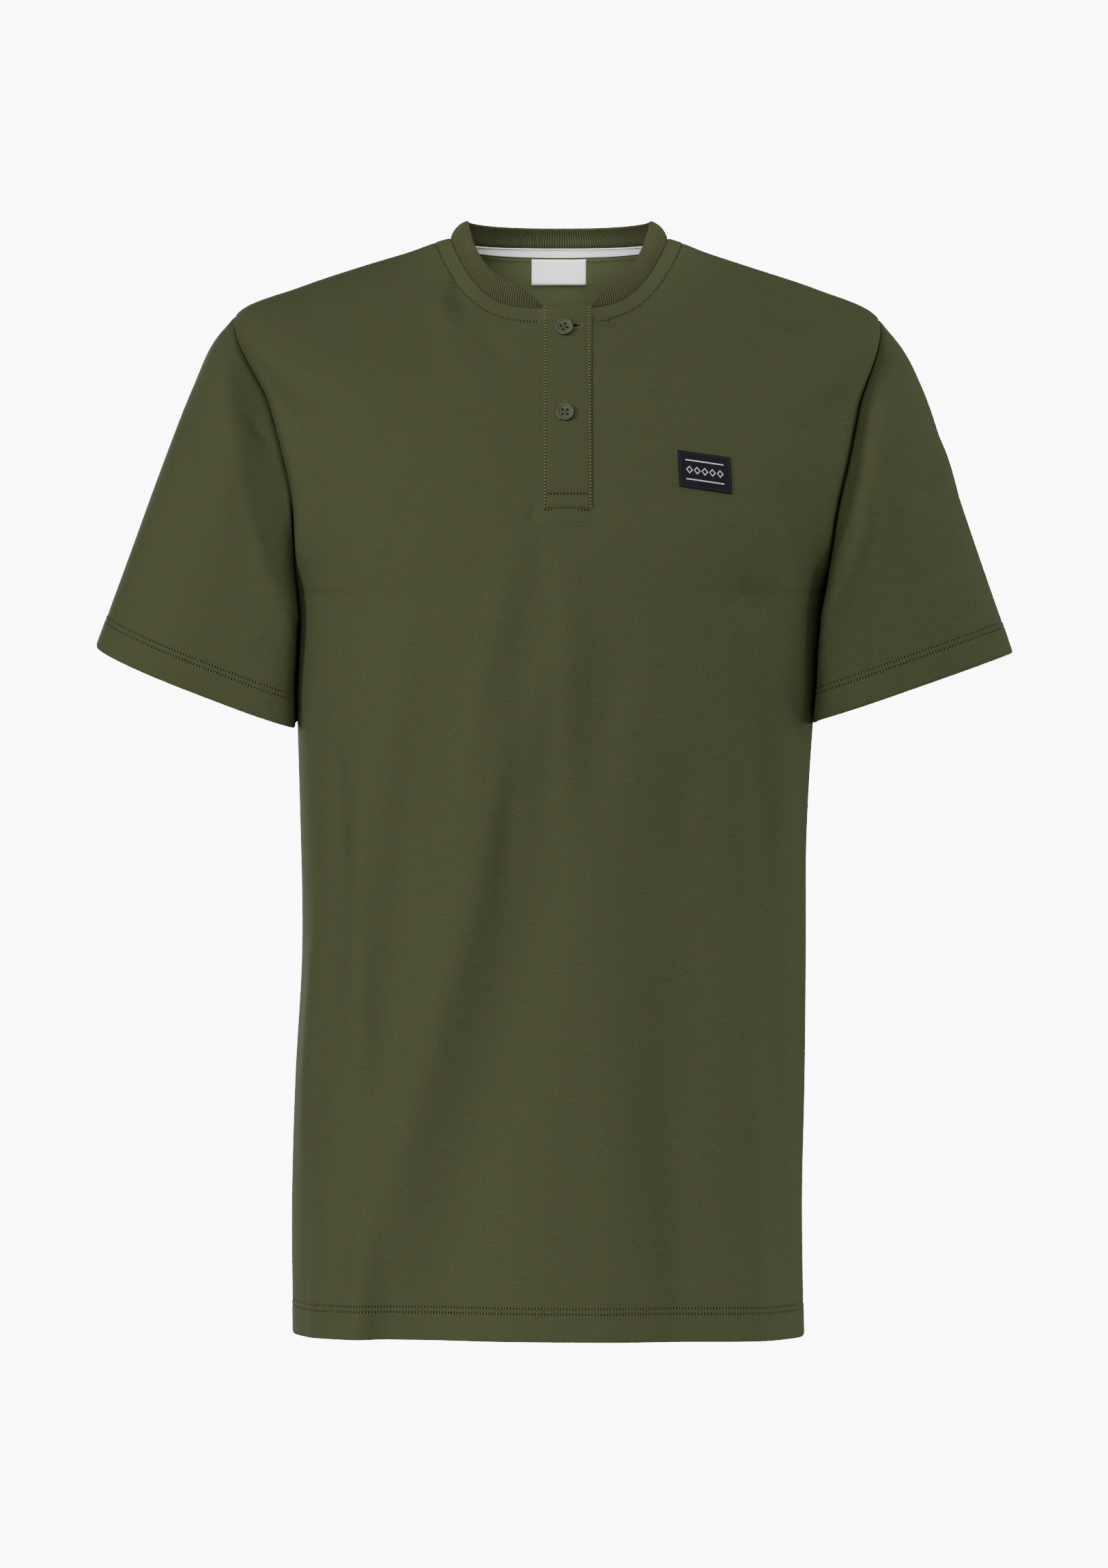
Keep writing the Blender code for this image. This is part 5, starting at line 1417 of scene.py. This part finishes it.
BAND_STITCH_PITCH, EDGE_GAP, FLAT_GAP = 2.2 * MM, 0.42, 0.30
top = min(neck_height_at(front_grid, band_left), neck_height_at(front_grid, band_right)) + MM
edge_runs = (((band_left + LEFT_INSETS[0], BAND_FOOT), (band_left + LEFT_INSETS[1], top)),
             ((band_right - RIGHT_INSETS[0], BAND_FOOT), (band_right - RIGHT_INSETS[1], top)))
rows = [row_of_stitches(*band_line(start, stop, BAND_LIFT), BAND_STITCH_PITCH, EDGE_GAP)
        for start, stop in edge_runs]
sewn("placket_edge_stitches", rows, pale_thread, 0.34 * MM, lift=0.08 * MM, pricked=0.45 * MM)
box_z, foot_z = BAND_FOOT + BOX_HEIGHT, BAND_FOOT - BAND_FOOT_STITCH
flat_lines = (
    band_line((band_left + 1.3 * MM, box_z), (band_right - 1.1 * MM, box_z), BAND_LIFT - 0.05 * MM),
    band_line((band_left - 0.5 * MM, foot_z), (band_right - 0.5 * MM, foot_z), 0.45 * MM))
rows = [row_of_stitches(*line, BAND_STITCH_PITCH, FLAT_GAP) for line in flat_lines]
sewn("placket_box_stitches", rows, olive_thread, 0.20 * MM, pricked=0.66 * MM)

# A bar tack of seven slanting bars holds the top of the band's left edge to the front.
TACK_BARS, TACK_HALF = 7, 2.3 * MM
tack_z = (-50.6 - 1.3 * np.arange(TACK_BARS)) * MM
tack_starts, tack_faces = over_front(np.full(TACK_BARS, band_left - TACK_HALF), tack_z, 1.0 * MM)
tack_stops = over_front(np.full(TACK_BARS, band_left + TACK_HALF), tack_z - 0.4 * MM, 1.9 * MM)[0]
sewn("placket_bar_tack", [(tack_starts, tack_stops, tack_faces)], olive_thread, 0.11 * MM)

# Buttonholes: a dark strip of painted shade in the slit, close stitches on both its sides and bars across its
# ends. They lie on the band's swell, and button 1 has drawn its hole open at one end.
BAND_FACE = BAND_LIFT + 0.4 * MM
SLIT_SHADE_LIFT = BAND_FACE + 0.02 * MM
BUTTONHOLE_PITCH, BUTTONHOLE_STITCH, BAR_HALF, BAR_PITCH = 0.42, 1.05, 1.3, 0.35    # millimetres
Hole = namedtuple("Hole", "x z half_length upright open_half shut_half")
HOLES = [
    Hole(8.9, -61.4, 5.4, False, 2.2, 0.12),
    Hole(3.9, -118.9, 6.6, True, 0.2, 0.2),
]


def hole_spots(hole, along_mm, beside_mm, lift):
    """Points and facings over a buttonhole, by their millimetres along it and beside it."""
    x_mm, z_mm = (beside_mm, along_mm) if hole.upright else (along_mm, beside_mm)
    return over_front((hole.x + x_mm) * MM, (hole.z + z_mm) * MM, lift)


rows, slit_shade_parts = [], []
for hole in HOLES:
    places = np.arange(-hole.half_length, hole.half_length, BUTTONHOLE_PITCH)
    way = (places + hole.half_length) / (2 * hole.half_length)
    halves = hole.open_half + (hole.shut_half - hole.open_half) * way
    for side in (-1, 1):
        starts, faces = hole_spots(hole, places, side * halves, BAND_FACE)
        stops = hole_spots(hole, places, side * (halves + BUTTONHOLE_STITCH), BAND_FACE)[0]
        rows.append((starts, stops, faces))
        bars = side * (hole.half_length + BAR_PITCH * np.arange(3))
        starts, faces = hole_spots(hole, bars, np.full(3, -BAR_HALF), BAND_FACE)
        rows.append((starts, hole_spots(hole, bars, np.full(3, BAR_HALF), BAND_FACE)[0], faces))
    # The slit is a dark strip of painted shade, laid over the band between the stitches' inner edges.
    edges = [hole_spots(hole, places, side * halves, SLIT_SHADE_LIFT)[0] for side in (-1, 1)]
    count = len(places)
    slit_shade_parts.append((np.concatenate(edges), [(step, step + 1, count + step + 1, count + step)
                                               for step in range(count - 1)]))
buttonhole_thread = thread_material("buttonhole thread", (0.130, 0.115, 0.045, 1.0),
                                    (0.070, 0.066, 0.028, 1.0))
sewn("buttonhole_stitches", rows, buttonhole_thread, 0.17 * MM)
piece("buttonhole_slit_shades", joined_mesh(slit_shade_parts, smooth=False), gap_shade)

FINE_THREAD, FINE_GAP = 0.17 * MM, 0.25
tape_facing = -outward_normals(tape_grid)
tape_row = TAPE_ROWS.index(TAPE_STITCH_ROW)
tape_line = tape_grid[tape_row] + tape_facing[tape_row] * (TAPE_CLOTH + 0.02 * MM)
white_sewing = thread_material("white sewing thread", (0.80, 0.81, 0.80, 1.0), (0.55, 0.56, 0.55, 1.0))
sewn("neck_tape_stitches", [row_of_stitches(tape_line, tape_facing[tape_row], 2.2 * MM, FINE_GAP)],
     white_sewing, FINE_THREAD)

# The tape's upper edge is overcast in olive zigzag.
ZIGZAG_PITCH = 1.7 * MM
dark_thread = thread_material("dark olive thread", (0.060, 0.066, 0.030, 1.0), (0.028, 0.030, 0.014, 1.0))
upper, lower = (tape_grid[row] + tape_facing[row] * (TAPE_CLOTH + 0.05 * MM) for row in (-1, -3))
zigzag = np.arange(2 * MM, travelled(lower)[-1] - 3 * MM, ZIGZAG_PITCH)
zigzag_faces = sampled(tape_facing[-3], travelled(lower), zigzag)
tips, feet = along(upper, zigzag), along(lower, zigzag + ZIGZAG_PITCH / 2)
sewn("neck_tape_zigzag", [(tips, feet, zigzag_faces), (feet[:-1], tips[1:], zigzag_faces[1:])],
     dark_thread, FINE_THREAD)

patch_normals = outward_normals(patch_grid)
patch_ring = [(slice(3, -4), 3), (-4, slice(3, -4)), (slice(-4, 3, -1), -4), (3, slice(-4, 3, -1))]
patch_line, patch_facing = (np.vstack([grid[rows, columns] for rows, columns in patch_ring])
                            for grid in (patch_grid, patch_normals))
navy_thread = thread_material("navy sewing thread", (0.026, 0.027, 0.036, 1.0), (0.010, 0.011, 0.015, 1.0))
sewn("patch_stitches", [row_of_stitches(patch_line, patch_facing, 2.0 * MM, FINE_GAP, closed=True)],
     navy_thread, FINE_THREAD, THREAD_LIFT)

# Painted shade of the needle holes between the stitches: a dark flat disc at each, lying just over the cloth.
NEEDLE_LIFT, NEEDLE_SIDES = 0.17 * MM, 8
pricks, faces = np.vstack(needle_spots), np.vstack(needle_faces)
beside = unit(np.cross(faces, (0.0, 0.0, 1.0)))
sizes = np.concatenate(needle_sizes)[:, None, None]
rims = (pricks + faces * NEEDLE_LIFT)[:, None] + sizes * spokes(beside, np.cross(beside, faces), NEEDLE_SIDES)
needle_shade_mesh = new_mesh(rims.reshape(-1, 3), np.arange(rims.shape[0] * NEEDLE_SIDES).reshape(-1, NEEDLE_SIDES),
                       smooth=False)
piece("needle_hole_shades", needle_shade_mesh, gap_shade)


# ---------------------------------------------------------------- the studio
# A wide pale floor under the shirt, an even white room light, five soft lamps, and four small ones with
# narrow cones for the inside of the neck.
floor_mesh = bpy.data.meshes.new("floor")
work = bmesh.new()
bmesh.ops.create_circle(work, cap_ends=True, segments=96, radius=0.62)
work.to_mesh(floor_mesh)
work.free()
floor_paint, tree, shader = new_material("floor paper")
fill(tree, shader, {"Base Color": (0.9, 0.9, 0.9, 1.0), "Roughness": 0.9})
floor_mesh.materials.append(floor_paint)
placed("floor", floor_mesh, (0.0, 0.0, -0.95))

WHITE = (1.0, 1.0, 1.0, 1.0)
world = bpy.data.worlds.new("room")
bpy.context.scene.world = world
world.use_nodes = True
tree = world.node_tree
room_light = fill(tree, tree.nodes["Background"], {"Color": WHITE, "Strength": 0.22})
backdrop = add_node(tree, "ShaderNodeBackground", {"Color": WHITE, "Strength": 10.0})
seen = add_node(tree, "ShaderNodeLightPath").outputs["Is Camera Ray"]
both = add_node(tree, "ShaderNodeMixShader", {0: seen, 1: room_light.outputs[0], 2: backdrop.outputs[0]})
fill(tree, tree.nodes["World Output"], {"Surface": both.outputs[0]})


def lamp(name, kind, place, aim, watts, **settings):
    data = bpy.data.lights.new(name, kind)
    data.energy = watts
    for setting, value in settings.items():
        setattr(data, setting, value)
    made = placed(name, data, place)
    made.rotation_euler = (Vector(aim) - Vector(place)).to_track_quat("-Z", "Y").to_euler()


SHIRT_MIDDLE = (0.0, 0.0, -0.35)
for name, place, size, watts in (("front", (-0.6, -4.2, 0.9), 1.0, 116.0),
                                 ("left", (-3.1, -2.8, 0.6), 1.2, 112.0),
                                 ("right_rim", (3.6, 0.4, 0.5), 1.3, 108.0),
                                 ("top", (0.0, -0.6, 1.9), 1.6, 3.0),
                                 ("back", (-1.6, 3.8, 0.3), 1.4, 90.0)):
    lamp(name, "AREA", place, SHIRT_MIDDLE, watts, size=size)
for name, place, aim, degrees, watts in (
        ("neck_from_left", (-0.42, -0.5, 0.36), (0.02, 0.05, -0.02), 14, 6.0),
        ("neck_from_right", (0.42, -0.5, 0.36), (-0.02, 0.05, -0.02), 14, 8.0),
        ("neck_high", (0.0, -0.5, 0.45), (0.0, 0.066, -0.03), 14, 14.0),
        ("neck_low", (0.0, -0.7, 0.12), (0.0, 0.066, 0.007), 10, 24.0)):
    lamp(name, "SPOT", place, aim, watts, spot_size=math.radians(degrees), spot_blend=0.9,
         shadow_soft_size=0.04)

camera_data = bpy.data.cameras.new("camera")
camera_data.lens = 189.5
camera_data.sensor_width = 36.0
camera = placed("camera", camera_data, (-0.0034, -5.5, -0.362))
camera.rotation_euler = (math.pi / 2, 0.0, 0.0)
bpy.context.scene.camera = camera
